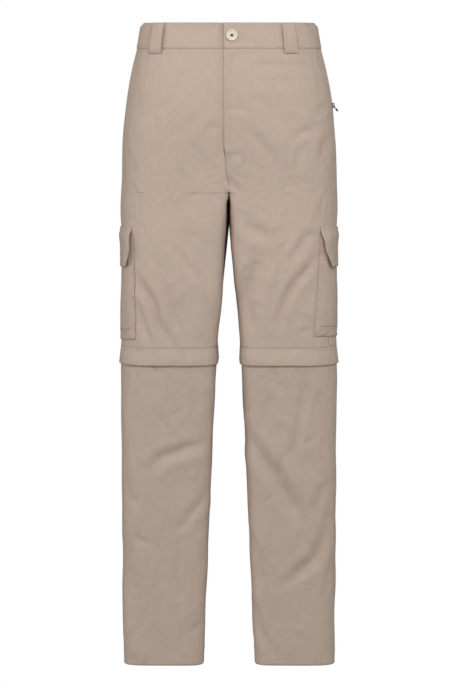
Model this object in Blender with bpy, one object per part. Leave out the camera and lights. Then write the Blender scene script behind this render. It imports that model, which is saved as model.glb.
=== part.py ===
"""Convertible zip-off trousers, filled out as when worn: the construction at real size, in metres, +Z up.

The wearer's left is +X and the front faces -Y. The origin is the centre of the waist at half the
waistband's height, where the wearer holds the trousers up. Every cloth piece is a wall whose outer
face is read from one skin, the outer face of the panels, and moved out or in from it.
"""

import math
from collections import namedtuple

import bmesh
import bpy
import numpy as np
from mathutils import Matrix, Vector

# Heights, from the waistband down
WAIST_TOP = 0.0205
WAIST_SEAM = -0.0205
FLY_END = -0.172
CROTCH = -0.2516
BAND_TOP = -0.5055
BAND_BOTTOM = -0.5320
ZIP_LINE = -0.518
HEM = -1.0373

# Cloth and seams
SEAM_GAP = 0.0003
HALF_GAP = SEAM_GAP / 2
LAYER_GAP = 0.0007
PANEL_WALL = 0.0012
WAIST_WALL = 0.0020
BAND_WALL = 0.0012
TAPE_WALL = 0.0010
UNDER_PANEL = -(PANEL_WALL + LAYER_GAP)

Section = namedtuple("Section", "height outer centre inner front back middle square inner_square seam")
# One row for each level of a leg, from the waist down. outer, centre and inner are distances from the
# middle plane (a negative inner means that the two legs' outlines run together, which is the hips);
# front and back are depths from middle; square and inner_square are the outline's exponents outside and
# inside the centre; seam is the side seam's angle in degrees.
SECTIONS = [
    Section(0.0205, 0.1425, 0.0000, -0.1425, 0.106, 0.111, 0.000, 2.9, 2.9, 78),
    Section(-0.0205, 0.1495, 0.0000, -0.1495, 0.111, 0.116, 0.000, 2.9, 2.9, 76),
    Section(-0.056, 0.1582, 0.0060, -0.1580, 0.115, 0.123, 0.000, 2.9, 2.9, 75),
    Section(-0.088, 0.1645, 0.0170, -0.1600, 0.117, 0.129, 0.000, 2.9, 3.0, 74.5),
    Section(-0.125, 0.1695, 0.0340, -0.1550, 0.117, 0.135, 0.002, 2.9, 3.2, 74),
    Section(-0.160, 0.1728, 0.0520, -0.1440, 0.115, 0.137, 0.004, 2.9, 4.4, 73),
    Section(-0.190, 0.1747, 0.0650, -0.1270, 0.112, 0.135, 0.006, 2.9, 6.0, 71),
    Section(-0.215, 0.1758, 0.0745, -0.1000, 0.109, 0.130, 0.0070, 2.9, 9.0, 69),
    Section(-0.235, 0.1765, 0.0805, -0.0640, 0.1063, 0.124, 0.0068, 2.9, 14.0, 68),
    Section(-0.246, 0.1768, 0.0830, -0.0260, 0.1050, 0.1205, 0.0065, 2.9, 20.0, 68),
    Section(CROTCH, 0.1770, 0.0842, 0.0000, 0.1043, 0.1190, 0.0063, 2.9, 24.0, 68),
    Section(-0.280, 0.1775, 0.0868, -0.0015, 0.1010, 0.1120, 0.0045, 2.9, 14.0, 67),
    Section(-0.305, 0.1768, 0.0875, -0.0010, 0.0982, 0.1080, 0.0022, 2.9, 9.0, 66),
    Section(-0.325, 0.1750, 0.0880, 0.0010, 0.0965, 0.1050, 0.0010, 2.9, 8.0, 65),
    Section(-0.345, 0.1737, 0.0885, 0.0031, 0.0950, 0.1010, 0.000, 2.9, 7.5, 65),
    Section(-0.420, 0.1747, 0.0926, 0.0109, 0.0900, 0.0910, -0.001, 3.0, 6.5, 63),
    Section(-0.470, 0.1753, 0.0952, 0.0156, 0.0870, 0.0850, 0.000, 3.1, 6.0, 62),
    Section(-0.502, 0.1779, 0.0975, 0.0182, 0.0850, 0.0820, 0.001, 3.2, 6.0, 62),
    Section(-0.518, 0.1781, 0.0985, 0.0189, 0.0840, 0.0800, 0.001, 3.2, 6.0, 62),
    Section(-0.549, 0.1778, 0.0993, 0.0209, 0.0820, 0.0790, 0.003, 3.5, 6.0, 60),
    Section(-0.640, 0.1776, 0.1016, 0.0256, 0.0770, 0.0790, 0.009, 4.0, 6.0, 57),
    Section(-0.766, 0.1770, 0.1041, 0.0312, 0.0700, 0.0780, 0.014, 4.4, 6.0, 57),
    Section(-0.900, 0.1764, 0.1067, 0.0370, 0.0630, 0.0720, 0.016, 4.6, 6.0, 59),
    Section(HEM, 0.1758, 0.1092, 0.0425, 0.0580, 0.0640, 0.016, 5.0, 6.0, 62),
]

Fold = namedtuple("Fold", "x0 z0 x1 z1 width depth")
# The largest folds, as troughs between two points of the front view, and the same for the back
FRONT_FOLDS = [
    Fold(0.034, -0.668, 0.129, -0.806, 0.016, 0.0085),
    Fold(0.166, -0.825, 0.088, -0.908, 0.014, 0.0070),
    Fold(0.040, -0.830, 0.070, -1.015, 0.013, 0.0055),
    Fold(-0.032, -0.675, -0.135, -0.714, 0.015, 0.0060),
    Fold(-0.166, -0.860, -0.140, -1.010, 0.016, 0.0055),
    Fold(-0.036, -0.790, -0.083, -0.823, 0.013, 0.0050),
    Fold(-0.152, -0.390, -0.098, -0.495, 0.011, 0.0055),
    Fold(-0.124, -0.335, -0.075, -0.495, 0.009, 0.0028),
    Fold(-0.043, -0.355, -0.029, -0.485, 0.009, 0.0030),
    Fold(0.047, -0.362, 0.034, -0.480, 0.015, 0.0065),
    Fold(0.024, -0.300, 0.066, -0.330, 0.011, 0.0030),
    Fold(0.146, -0.352, 0.098, -0.415, 0.009, 0.0035),
    Fold(0.030, -0.048, 0.148, -0.056, 0.008, 0.0022),
    Fold(0.037, -0.154, 0.072, -0.196, 0.009, 0.0030),
]
BACK_FOLDS = [
    Fold(-0.020, -0.285, -0.120, -0.262, 0.012, 0.0045),
    Fold(0.020, -0.288, 0.115, -0.258, 0.012, 0.0045),
    Fold(-0.035, -0.330, -0.135, -0.318, 0.012, 0.0035),
    Fold(0.035, -0.335, 0.130, -0.322, 0.012, 0.0035),
    Fold(-0.145, -0.560, -0.050, -0.605, 0.013, 0.0045),
    Fold(0.150, -0.566, 0.055, -0.612, 0.013, 0.0045),
    Fold(-0.060, -0.690, -0.155, -0.760, 0.013, 0.0040),
    Fold(0.065, -0.700, 0.150, -0.775, 0.013, 0.0040),
]
FOLD_FADE = 0.35
FOLD_ENDS = 0.35
THIGH_WAVE, THIGH_WAVES = 0.0008, 35

# The front edge of the overlapping left side, which runs to the middle plane at the crotch
LAP_EDGE = (
    (CROTCH, 0.0),
    (-0.238, 0.0),
    (-0.220, -0.0035),
    (FLY_END, -0.0080),
    (WAIST_TOP, -0.0085),
)
FLY_UNDERLAP = 0.008
FLY_CLOSES = 0.010
LAP_RISE = 0.0018
LAP_SINK = 0.0013
LAP_REACH = 0.040
WAIST_EXTENSION = 0.035

CLOTH_COLOUR = (0.50, 0.40, 0.325, 1.0)
DARK_COLOUR = (0.03, 0.022, 0.02, 1.0)
HORN_COLOUR = (0.72, 0.64, 0.54, 1.0)
METAL_COLOUR = (0.55, 0.53, 0.5, 1.0)


def clear_scene():
    for old in list(bpy.data.objects):
        bpy.data.objects.remove(old)


def material(name, colour, roughness, metallic=0.0):
    made = bpy.data.materials.new(name)
    made.use_nodes = True
    shader = made.node_tree.nodes["Principled BSDF"]
    shader.inputs["Base Color"].default_value = colour
    shader.inputs["Roughness"].default_value = roughness
    shader.inputs["Metallic"].default_value = metallic
    return made


def ease(value, start, end):
    """0 before start, 1 after end, and a smooth step between them."""
    share = np.clip((value - start) / (end - start), 0, 1)
    return share * share * (3 - 2 * share)


def column(name, height):
    """A column of SECTIONS at any heights: a cubic through the rows that never overshoots them."""
    levels = np.array([row.height for row in SECTIONS])[::-1]
    values = np.array([getattr(row, name) for row in SECTIONS], float)[::-1]
    slopes = np.diff(values) / np.diff(levels)
    before, after = slopes[:-1], slopes[1:]
    agree = before * after > 0
    total = np.where(agree, before + after, 1)
    inside = np.where(agree, 2 * before * after / total, 0)
    tangents = np.concatenate([slopes[:1], inside, slopes[-1:]])
    at = np.clip(np.searchsorted(levels, height) - 1, 0, len(levels) - 2)
    step = levels[at + 1] - levels[at]
    t = np.clip((height - levels[at]) / step, 0, 1)
    rise = values[at + 1] - values[at]
    bend = (t - 1) * tangents[at] + t * tangents[at + 1]
    return values[at] + rise * t * t * (3 - 2 * t) + t * (t - 1) * step * bend


def half_width(height, across=1):
    """From a leg's centre to its widest point, on its outer side, or its inner where across is negative."""
    outer = column("outer", height) - column("centre", height)
    inner = column("centre", height) - column("inner", height)
    return np.where(np.asarray(across) < 0, inner, outer)


def squareness(height, across):
    return np.where(np.asarray(across) < 0, column("inner_square", height), column("square", height))


def angle_at(x, height, depth="front"):
    """The angle at which a leg's outline is at x from the middle plane, on its front or its back."""
    height = np.asarray(height, float)
    across = x - column("centre", height)
    share = np.clip(np.abs(across) / half_width(height, across), 0, 1)
    square = squareness(height, across)
    along = column(depth, height) * (1 - share**square) ** (1 / square)
    angle = np.arctan2(across, np.maximum(along, 1e-9))
    return angle if depth == "front" else math.pi - angle


def beyond(angle, height):
    """Whether an angle above the crotch is past the middle plane, and its mirror image there."""
    front, back = angle_at(0.0, height), angle_at(0.0, height, "back")
    past = (height > CROTCH) & ((angle < front) | (angle > back))
    return past, np.where(angle < front, 2 * front - angle, 2 * back - angle)


# Under the fork the front halves of the thighs stand apart: for each side how far at most, and the height
# where it is back at the outline
FORK_GAPS = {1: (0.0030, -0.345), -1: (0.0050, -0.430)}
FORK_OPENS = 0.022
FORK_CLOSES = -0.300


def fork_gap(side, angle, height):
    """How far a leg's inner side stands back from its widest outline, which is kept behind its centre."""
    widest, low = FORK_GAPS[side]
    inner_side, front_half = ease(-np.sin(angle), 0.2, 0.75), ease(np.cos(angle), -0.35, 0.05)
    opened = ease(-height, -CROTCH, -CROTCH + FORK_OPENS) * (1 - ease(-height, -FORK_CLOSES, -low))
    return widest * opened * inner_side * front_half


def outline(side, angle, height):
    """Points of one leg's smooth outline. side is 1 for the wearer's left. angle 0 is the front and a
    right angle the outer side. Past the middle plane the outline goes on along the other leg's."""
    past, mirrored = beyond(angle, height)
    apart = side * fork_gap(side, angle, height)
    angle = np.where(past, mirrored, angle)
    side = np.where(past, -side, side)
    depth = np.where(np.cos(angle) > 0, column("front", height), column("back", height))
    across = np.sin(angle)
    square = squareness(height, across)
    reach = (
        np.abs(across / half_width(height, across)) ** square
        + np.abs(np.cos(angle) / depth) ** square
    ) ** (-1 / square)
    x = side * (column("centre", height) + reach * across) + apart
    y = column("middle", height) - reach * np.cos(angle)
    return np.stack([x, y, height * np.ones_like(x)], axis=-1)


def outward(side, surface, angle, height):
    """Unit normals of a surface, which is a function of side, angle and height."""
    turn, lift = 0.004, 0.001
    across = surface(side, angle + turn, height) - surface(side, angle - turn, height)
    along = surface(side, angle, height + lift) - surface(side, angle, height - lift)
    normal = side * np.cross(across, along)
    return normal / np.linalg.norm(normal, axis=-1, keepdims=True)


def fold_depth(points, facing, folds):
    """How deep the folds are at these points. facing is 1 where the cloth faces the folds' view."""
    x, z = points[..., 0], points[..., 2]
    depth = np.zeros_like(x)
    for fold in folds:
        run = np.array([fold.x1 - fold.x0, fold.z1 - fold.z0])
        share = ((x - fold.x0) * run[0] + (z - fold.z0) * run[1]) / (run @ run)
        nearest = np.clip(share, 0, 1)
        away = np.hypot(x - fold.x0 - nearest * run[0], z - fold.z0 - nearest * run[1])
        taper = FOLD_ENDS + (1 - FOLD_ENDS) * np.sin(math.pi * nearest)
        depth += fold.depth * taper * np.exp(-((away / fold.width) ** 2))
    return depth * ease(facing, 0, FOLD_FADE)


def thigh_meeting(points):
    """Where the two thighs press together, in x: a shallow wave from front to back."""
    y, z = points[..., 1], points[..., 2]
    return THIGH_WAVE * np.sin(THIGH_WAVES * y) * ease(-z, -CROTCH, -CROTCH + 0.008)


def loose(points):
    """1 where the cloth is free to crease, and 0 where the two thighs press together under the fork."""
    x, z = np.abs(points[..., 0]), points[..., 2]
    return 1 - (1 - ease(x, 0.003, 0.020)) * ease(-z, -CROTCH - 0.006, -CROTCH + 0.004)


def own_side(side, points, angle, height):
    """Moves points to a leg's own side of the middle, but for those that lap past it above the crotch."""
    past, _ = beyond(angle, height)
    meeting = thigh_meeting(points)
    kept = meeting + side * np.maximum(side * (points[..., 0] - meeting), HALF_GAP)
    points[..., 0] = np.where(past, points[..., 0], kept)
    return points


def skin(side, angle, height):
    """Points of the panels' outer face, with its folds, kept to each leg's own side of the middle."""
    points = outline(side, angle, height)
    facing = np.cos(angle)
    depth = fold_depth(points, facing, FRONT_FOLDS)
    depth += fold_depth(points, -facing, BACK_FOLDS)
    depth *= loose(points)
    points = points - outward(side, outline, angle, height) * depth[..., None]
    return own_side(side, points, angle, height)


def stacked(*stops):
    """Heights from the first stop down: each later stop gives a height, a number of steps and,
    where it has one, a power above 1 that crowds the steps towards it."""
    heights = [stops[0]]
    for target, steps, *power in stops[1:]:
        top = heights[-1]
        shares = 1 - (1 - np.arange(1, steps + 1) / steps) ** (power[0] if power else 1)
        heights += list(top + (target - top) * shares)
    return np.array(heights)


def build(name, verts, faces, finish):
    """One closed solid with its faces pointing out, shaded smooth but for its edges."""
    shell = bmesh.new()
    for point in verts:
        shell.verts.new(point)
    shell.verts.ensure_lookup_table()
    for face in faces:
        shell.faces.new([shell.verts[i] for i in face])
    if shell.calc_volume(signed=True) < 0:
        bmesh.ops.reverse_faces(shell, faces=shell.faces)
    mesh = bpy.data.meshes.new(name)
    shell.to_mesh(mesh)
    shell.free()
    return add(name, mesh, finish)


def add(name, mesh, finish):
    mesh.materials.clear()
    mesh.materials.append(finish)
    mesh.shade_smooth()
    mesh.set_sharp_from_angle(angle=math.radians(50))
    made = bpy.data.objects.new(name, mesh)
    bpy.context.scene.collection.objects.link(made)
    return made


def wall(name, outer, inner, finish, ring=False):
    """A solid between two grids of points, which are rows of equal length; a ring's rows close."""
    rows, columns = outer.shape[:2]
    verts = np.concatenate([outer.reshape(-1, 3), inner.reshape(-1, 3)])
    under = rows * columns
    faces = []
    for i in range(rows - 1):
        for j in range(columns if ring else columns - 1):
            k = (j + 1) % columns
            a, b, c, d = (i * columns + j, i * columns + k, (i + 1) * columns + k, (i + 1) * columns + j)
            faces += [(a, b, c, d), (under + d, under + c, under + b, under + a)]
    edges = []
    for j in range(columns if ring else columns - 1):
        k = (j + 1) % columns
        edges += [(k, j), ((rows - 1) * columns + j, (rows - 1) * columns + k)]
    if not ring:
        for i in range(rows - 1):
            edges.append((i * columns, (i + 1) * columns))
            edges.append(((i + 2) * columns - 1, (i + 1) * columns - 1))
    faces += [(a, b, under + b, under + a) for a, b in edges]
    return build(name, verts, faces, finish)


LATE_TURN = 2.5


def between(start, end, columns, aim=None):
    """Angles in steps from one edge to another, where the edges are functions of the height. The columns
    far from the end can aim at another angle, so that a quick turn of the end moves only the last few."""

    def angles(heights):
        share = np.linspace(0, 1, columns + 1)
        first, last = start(heights)[:, None], end(heights)[:, None]
        ahead = aim(heights)[:, None] if aim else last
        return first + (ahead - first) * share + (last - ahead) * share**LATE_TURN

    return angles


def level(angle):
    return lambda heights: angle * np.ones_like(heights)


def sheet(name, side, heights, angles, face, thickness, finish, ring=False, lean=None):
    """A cloth piece on the skin. angles gives each row's angles from the heights; face gives how far its
    outer face stands off the skin, from the points, angles and heights; lean moves points up by angle."""
    angle = angles(heights)
    height = np.repeat(heights[:, None], angle.shape[1], axis=1)
    if lean:
        height = height + lean(angle)
    points = skin(side, angle, height)
    normals = outward(side, skin, angle, height)
    outer = points + normals * np.asarray(face(points, angle, height))[..., None]
    inner = own_side(side, outer - normals * thickness, angle, height)
    return wall(name, outer, inner, finish, ring)


def flat(distance):
    return lambda points, angle, height: distance * np.ones_like(height)


def lap_edge(height):
    levels, places = zip(*LAP_EDGE)
    return np.interp(height, levels, places)


def front_angle(side, x, height):
    """The angle, seen from one side's leg, of the place at x on the front."""
    own = angle_at(np.maximum(side * x, 0), height)
    other = 2 * angle_at(0.0, height) - angle_at(np.maximum(-side * x, 0), height)
    return np.where(side * x >= 0, own, other)


def fly_depth(height):
    """1 at the fly, where the fronts overlap, and 0 below it."""
    return ease(height, FLY_END - 2.4 * FLY_CLOSES, FLY_END - FLY_CLOSES)


def lap_step(side, points, height):
    """The left front rises to its edge over the right front, which sinks under it."""
    from_edge = points[..., 0] - lap_edge(height)
    if side > 0:
        return LAP_RISE * (1 - ease(from_edge, 0, LAP_REACH)) * fly_depth(height)
    return -LAP_SINK * ease(from_edge, -0.012, -0.002) * fly_depth(height)


def under_band(height):
    """The thigh panels step in above the knee zip, so that the band over it starts level with them."""
    return -UNDER_BAND * np.clip((BAND_TOP + BAND_STEP - height) / BAND_STEP, 0, 1)


# The upper panels and the lower legs

ZIP_POCKET_TOP = -0.033
ZIP_POCKET_BOTTOM = -0.120
ZIP_POCKET_OPENING = 0.005
PANEL_TOP = WAIST_SEAM - SEAM_GAP
UPPER_BOTTOM = ZIP_LINE + 0.005
LOWER_TOP = ZIP_LINE - 0.005
FRONT_COLUMNS = 14
BACK_COLUMNS = 12
CROTCH_STEP = 0.0015
BAND_STEP = 0.0020
UNDER_BAND = BAND_WALL + LAYER_GAP


def side_seam(height):
    return np.radians(column("seam", height))


def side_gap(side, height):
    """Half the gap at the side seam, as an angle: the left seam parts over the zipped pocket."""
    share = (height - ZIP_POCKET_BOTTOM) / (ZIP_POCKET_TOP - ZIP_POCKET_BOTTOM)
    parted = np.sin(math.pi * np.clip(share, 0, 1)) ** 0.4 if side > 0 else 0
    gap = HALF_GAP + (ZIP_POCKET_OPENING / 2 - HALF_GAP) * parted
    return gap / half_width(height)


def front_edge(side):
    """The front panel's inner edge: the lap or the seam at the middle, then the inseam."""

    def angle(height):
        under = (FLY_UNDERLAP + SEAM_GAP) * ease(height, FLY_END - FLY_CLOSES, FLY_END)
        x = lap_edge(height) + (SEAM_GAP if side > 0 else under - SEAM_GAP)
        return np.where(height > CROTCH, front_angle(side, x, height), inseam(height))

    return angle


def back_edge(height):
    """The back panel's inner edge: the seat seam, then the inseam."""
    return np.where(height > CROTCH, angle_at(HALF_GAP, height, "back"), back_inseam(height))


def inseam(height):
    return -math.pi / 2 + HALF_GAP / half_width(height)


def back_inseam(height):
    return 3 * math.pi / 2 - HALF_GAP / half_width(height)


def leaving(seam, edge):
    """An angle that is the seam's up to the crotch and goes over to the edge's above it."""
    return lambda height: seam(height) + (edge(height) - seam(height)) * ease(height, CROTCH, CROTCH + 0.05)


def round_leg(heights):
    """The angles of both panels' columns, once round the leg below the crotch."""
    middle = side_seam(heights)[:, None]
    front = middle + (-math.pi / 2 - middle) * np.arange(FRONT_COLUMNS, 0, -1) / FRONT_COLUMNS
    back = middle + (3 * math.pi / 2 - middle) * np.arange(BACK_COLUMNS) / BACK_COLUMNS
    return np.concatenate([front, back], axis=1)


def panels(cloth):
    upper = stacked(
        PANEL_TOP,
        (FLY_END, 6),
        (FLY_END - FLY_CLOSES, 1),
        (CROTCH + CROTCH_STEP, 5, 1.7),
        (CROTCH, 1),
        (-0.290, 2),
        (BAND_TOP + BAND_STEP, 10),
        (BAND_TOP, 1),
        (UPPER_BOTTOM, 1),
    )
    lower = stacked(LOWER_TOP, (BAND_BOTTOM, 1), (HEM, 21))
    behind_band = lambda points, angle, height: under_band(height)
    for side, word in ((1, "left"), (-1, "right")):
        before = lambda height, side=side: side_seam(height) - side_gap(side, height)
        behind = lambda height, side=side: side_seam(height) + side_gap(side, height)
        step = lambda points, angle, height, side=side: lap_step(side, points, height) + under_band(height)
        fly = front_edge(side)
        front = between(before, fly, FRONT_COLUMNS, leaving(inseam, fly))
        back = between(behind, back_edge, BACK_COLUMNS, leaving(back_inseam, back_edge))
        shin = between(before, inseam, FRONT_COLUMNS)
        calf = between(behind, back_inseam, BACK_COLUMNS)
        sheet(f"front_{word}", side, upper, front, step, PANEL_WALL, cloth)
        sheet(f"back_{word}", side, upper, back, behind_band, PANEL_WALL, cloth)
        sheet(f"shin_{word}", side, lower, shin, flat(0), PANEL_WALL, cloth)
        sheet(f"calf_{word}", side, lower, calf, flat(0), PANEL_WALL, cloth)


# The fly shield lies behind both fronts and is what the zip's two sides close on

SHIELD_LEFT = 0.030
SHIELD_RIGHT = -0.026


def fly_shield(cloth):
    heights = stacked(PANEL_TOP, (FLY_END + 0.004, 7))
    start = lambda height: front_angle(1, SHIELD_LEFT, height)
    end = lambda height: front_angle(1, SHIELD_RIGHT, height)
    across = between(start, end, 6)
    sheet("fly_shield", 1, heights, across, flat(UNDER_PANEL - LAP_SINK), PANEL_WALL, cloth)


# The waistband: two strips that meet at the back seam and overlap at the front

WAIST_STANDS = 0.0008
WAIST_UNDER = WAIST_STANDS - WAIST_WALL - LAYER_GAP


def waist_face(side, points, angle, height):
    """The left end lies over the right end at the front; both ends are level at the back."""
    from_edge = points[..., 0] - lap_edge(height)
    if side > 0:
        step = LAP_RISE * (1 - ease(from_edge, 0, LAP_REACH))
    else:
        step = (WAIST_UNDER - WAIST_STANDS) * ease(from_edge, -0.012, -0.001)
    return WAIST_STANDS + step * (np.cos(angle) > 0)


def waistband(cloth):
    heights = stacked(WAIST_TOP, (WAIST_SEAM, 2))
    for side, word in ((1, "left"), (-1, "right")):
        reach = HALF_GAP if side > 0 else WAIST_EXTENSION
        start = lambda height: angle_at(HALF_GAP, height, "back")
        end = lambda height, side=side, reach=reach: front_angle(side, lap_edge(height) + reach, height)
        face = lambda points, angle, height, side=side: waist_face(side, points, angle, height)
        sheet(f"waistband_{word}", side, heights, between(start, end, 28), face, WAIST_WALL, cloth)


LOOP_WIDTH = 0.0222
LOOP_WALL = 0.0018
LOOP_ARCH = 0.0026
LOOP_TOP = WAIST_TOP - 0.0008
LOOP_BOTTOM = WAIST_SEAM - 0.0080
LOOP_PROBE = 0.05
# Where each belt loop stands: the side it is on, its distance from the middle and its view
BELT_LOOPS = {
    "belt_loop_front_left": (1, 0.0955, "front"),
    "belt_loop_front_right": (-1, 0.1135, "front"),
    "belt_loop_back_left": (1, 0.092, "back"),
    "belt_loop_back_right": (-1, 0.092, "back"),
    "belt_loop_centre_back": (1, 0.0, "back"),
}


def loop_face(points, angle, height):
    """The strap is sewn down at both ends, over the band's lower edge, and arches off it between."""
    base = WAIST_STANDS * ease(height, LOOP_BOTTOM + 0.002, WAIST_SEAM - 0.001)
    share = (height - LOOP_BOTTOM) / (LOOP_TOP - LOOP_BOTTOM)
    arch = LOOP_ARCH * np.sin(math.pi * np.clip(share, 0, 1)) ** 0.7
    return base + arch + LAYER_GAP + LOOP_WALL


def belt_loops(cloth):
    heights = stacked(LOOP_TOP, (WAIST_SEAM, 5), (LOOP_BOTTOM, 2))
    for name, (side, x, view) in BELT_LOOPS.items():
        middle = angle_at(x, 0.0, view)
        near = outline(side, np.array([middle - LOOP_PROBE, middle + LOOP_PROBE]), np.zeros(2))
        half = LOOP_WIDTH * LOOP_PROBE / np.linalg.norm(near[1] - near[0])
        across = between(level(middle - half), level(middle + half), 3)
        sheet(name, side, heights, across, loop_face, LOOP_WALL, cloth)


# The waist button, four holes in a rimmed disc, sewn on close to the band

BUTTON_X = 0.0046
BUTTON_RADIUS = 0.0091
BUTTON_THICKNESS = 0.0032
BUTTON_DISH = 0.0055
BUTTON_HOLE = 0.0009
HOLE_SPACING = 0.0032


def local_frame(side, angle, height, stand):
    """A matrix with its origin stand above the skin, +Z out of the cloth and +Y up along it."""
    angle, height = np.array([angle]), np.array([height])
    at = skin(side, angle, height)[0]
    out = Vector(outward(side, skin, angle, height)[0])
    rise = skin(side, angle, height + 0.004)[0] - skin(side, angle, height - 0.004)[0]
    across = Vector(rise).cross(out).normalized()
    frame = Matrix((across, out.cross(across), out)).transposed().to_4x4()
    frame.translation = Vector(at) + out * stand
    return frame


def turned(name, profile, finish, segments=32):
    """A solid of revolution about Z from (radius, height) points that start and end on the axis."""
    verts = [(0, 0, profile[0][1])]
    for radius, height in profile[1:-1]:
        for k in range(segments):
            turn = math.tau * k / segments
            verts.append((radius * math.cos(turn), radius * math.sin(turn), height))
    verts.append((0, 0, profile[-1][1]))
    faces, last = [], len(verts) - 1
    rings = len(profile) - 2
    for k in range(segments):
        n = (k + 1) % segments
        faces.append((0, 1 + n, 1 + k))
        faces.append((last, last - segments + k, last - segments + n))
        for ring in range(rings - 1):
            low, high = 1 + ring * segments, 1 + (ring + 1) * segments
            faces.append((low + k, low + n, high + n, high + k))
    return build(name, verts, faces, finish)


def block(name, size, at, finish, bevel=0.0):
    """A box of that size about a point, with rounded edges if a bevel is given."""
    shell = bmesh.new()
    bmesh.ops.create_cube(shell, size=1, matrix=Matrix.Translation(at) @ Matrix.Diagonal((*size, 1)))
    if bevel:
        bmesh.ops.bevel(shell, geom=shell.edges[:], offset=bevel, segments=2, affect="EDGES", profile=0.5)
    mesh = bpy.data.meshes.new(name)
    shell.to_mesh(mesh)
    shell.free()
    return add(name, mesh, finish)


def combine(target, other, operation):
    """Joins another solid to the target or cuts it away, and hides it as a tool."""
    change = target.modifiers.new(operation.lower(), "BOOLEAN")
    change.operation = operation
    change.object = other
    other.hide_render = True
    other.display_type = "WIRE"


def button(horn):
    rim = BUTTON_THICKNESS
    profile = [
        (0, 0),
        (BUTTON_RADIUS * 0.55, 0),
        (BUTTON_RADIUS, rim * 0.45),
        (BUTTON_RADIUS, rim * 0.75),
        (BUTTON_RADIUS * 0.88, rim),
        (BUTTON_RADIUS * 0.72, rim * 0.95),
        (BUTTON_DISH, rim * 0.68),
        (0, rim * 0.66),
    ]
    disc = turned("waist_button", profile, horn)
    hole = [(0, -0.001), (BUTTON_HOLE, -0.001), (BUTTON_HOLE, 0.004), (0, 0.004)]
    for kx in (-1, 1):
        for ky in (-1, 1):
            drill = turned("button_drill", hole, horn, 8)
            drill.location = (kx * HOLE_SPACING / 2, ky * HOLE_SPACING / 2, 0)
            drill.parent = disc
            combine(disc, drill, "DIFFERENCE")
    angle = front_angle(1, BUTTON_X, np.array([0.0]))[0]
    stand = WAIST_STANDS + LAP_RISE + SEAM_GAP
    disc.matrix_world = local_frame(1, angle, 0.0, stand)


# The zip in the left side seam: a tape behind the parted seam, a slider at its lower end and a short
# pull with a moulded grip, which stands off the cloth

SIDE_TAPE_HALF = 0.009
SLIDER_HEIGHT = ZIP_POCKET_BOTTOM + 0.007
SLIDER_WIDTH, SLIDER_LENGTH, SLIDER_THICKNESS = 0.0064, 0.0090, 0.0018
BRIDGE_WIDTH, BRIDGE_LENGTH, BRIDGE_BAR = 0.0018, 0.0076, 0.0011
BRIDGE_OPENING = 0.0020
BRIDGE_POST = 0.0016
PULL_BAR = 0.0012
PULL_ARM, PULL_WIDTH = 0.0011, 0.0047
PULL_WINDOW = 0.0050
PULL_LENGTH = 0.0064
GRIP_LENGTH, GRIP_WIDTH, GRIP_THICKNESS = 0.0046, 0.0050, 0.0024
TONGUE_LENGTH, TONGUE_WIDTH, TONGUE_THICKNESS = 0.0032, 0.0026, 0.0009
PULL_REST = math.radians(30)


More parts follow.
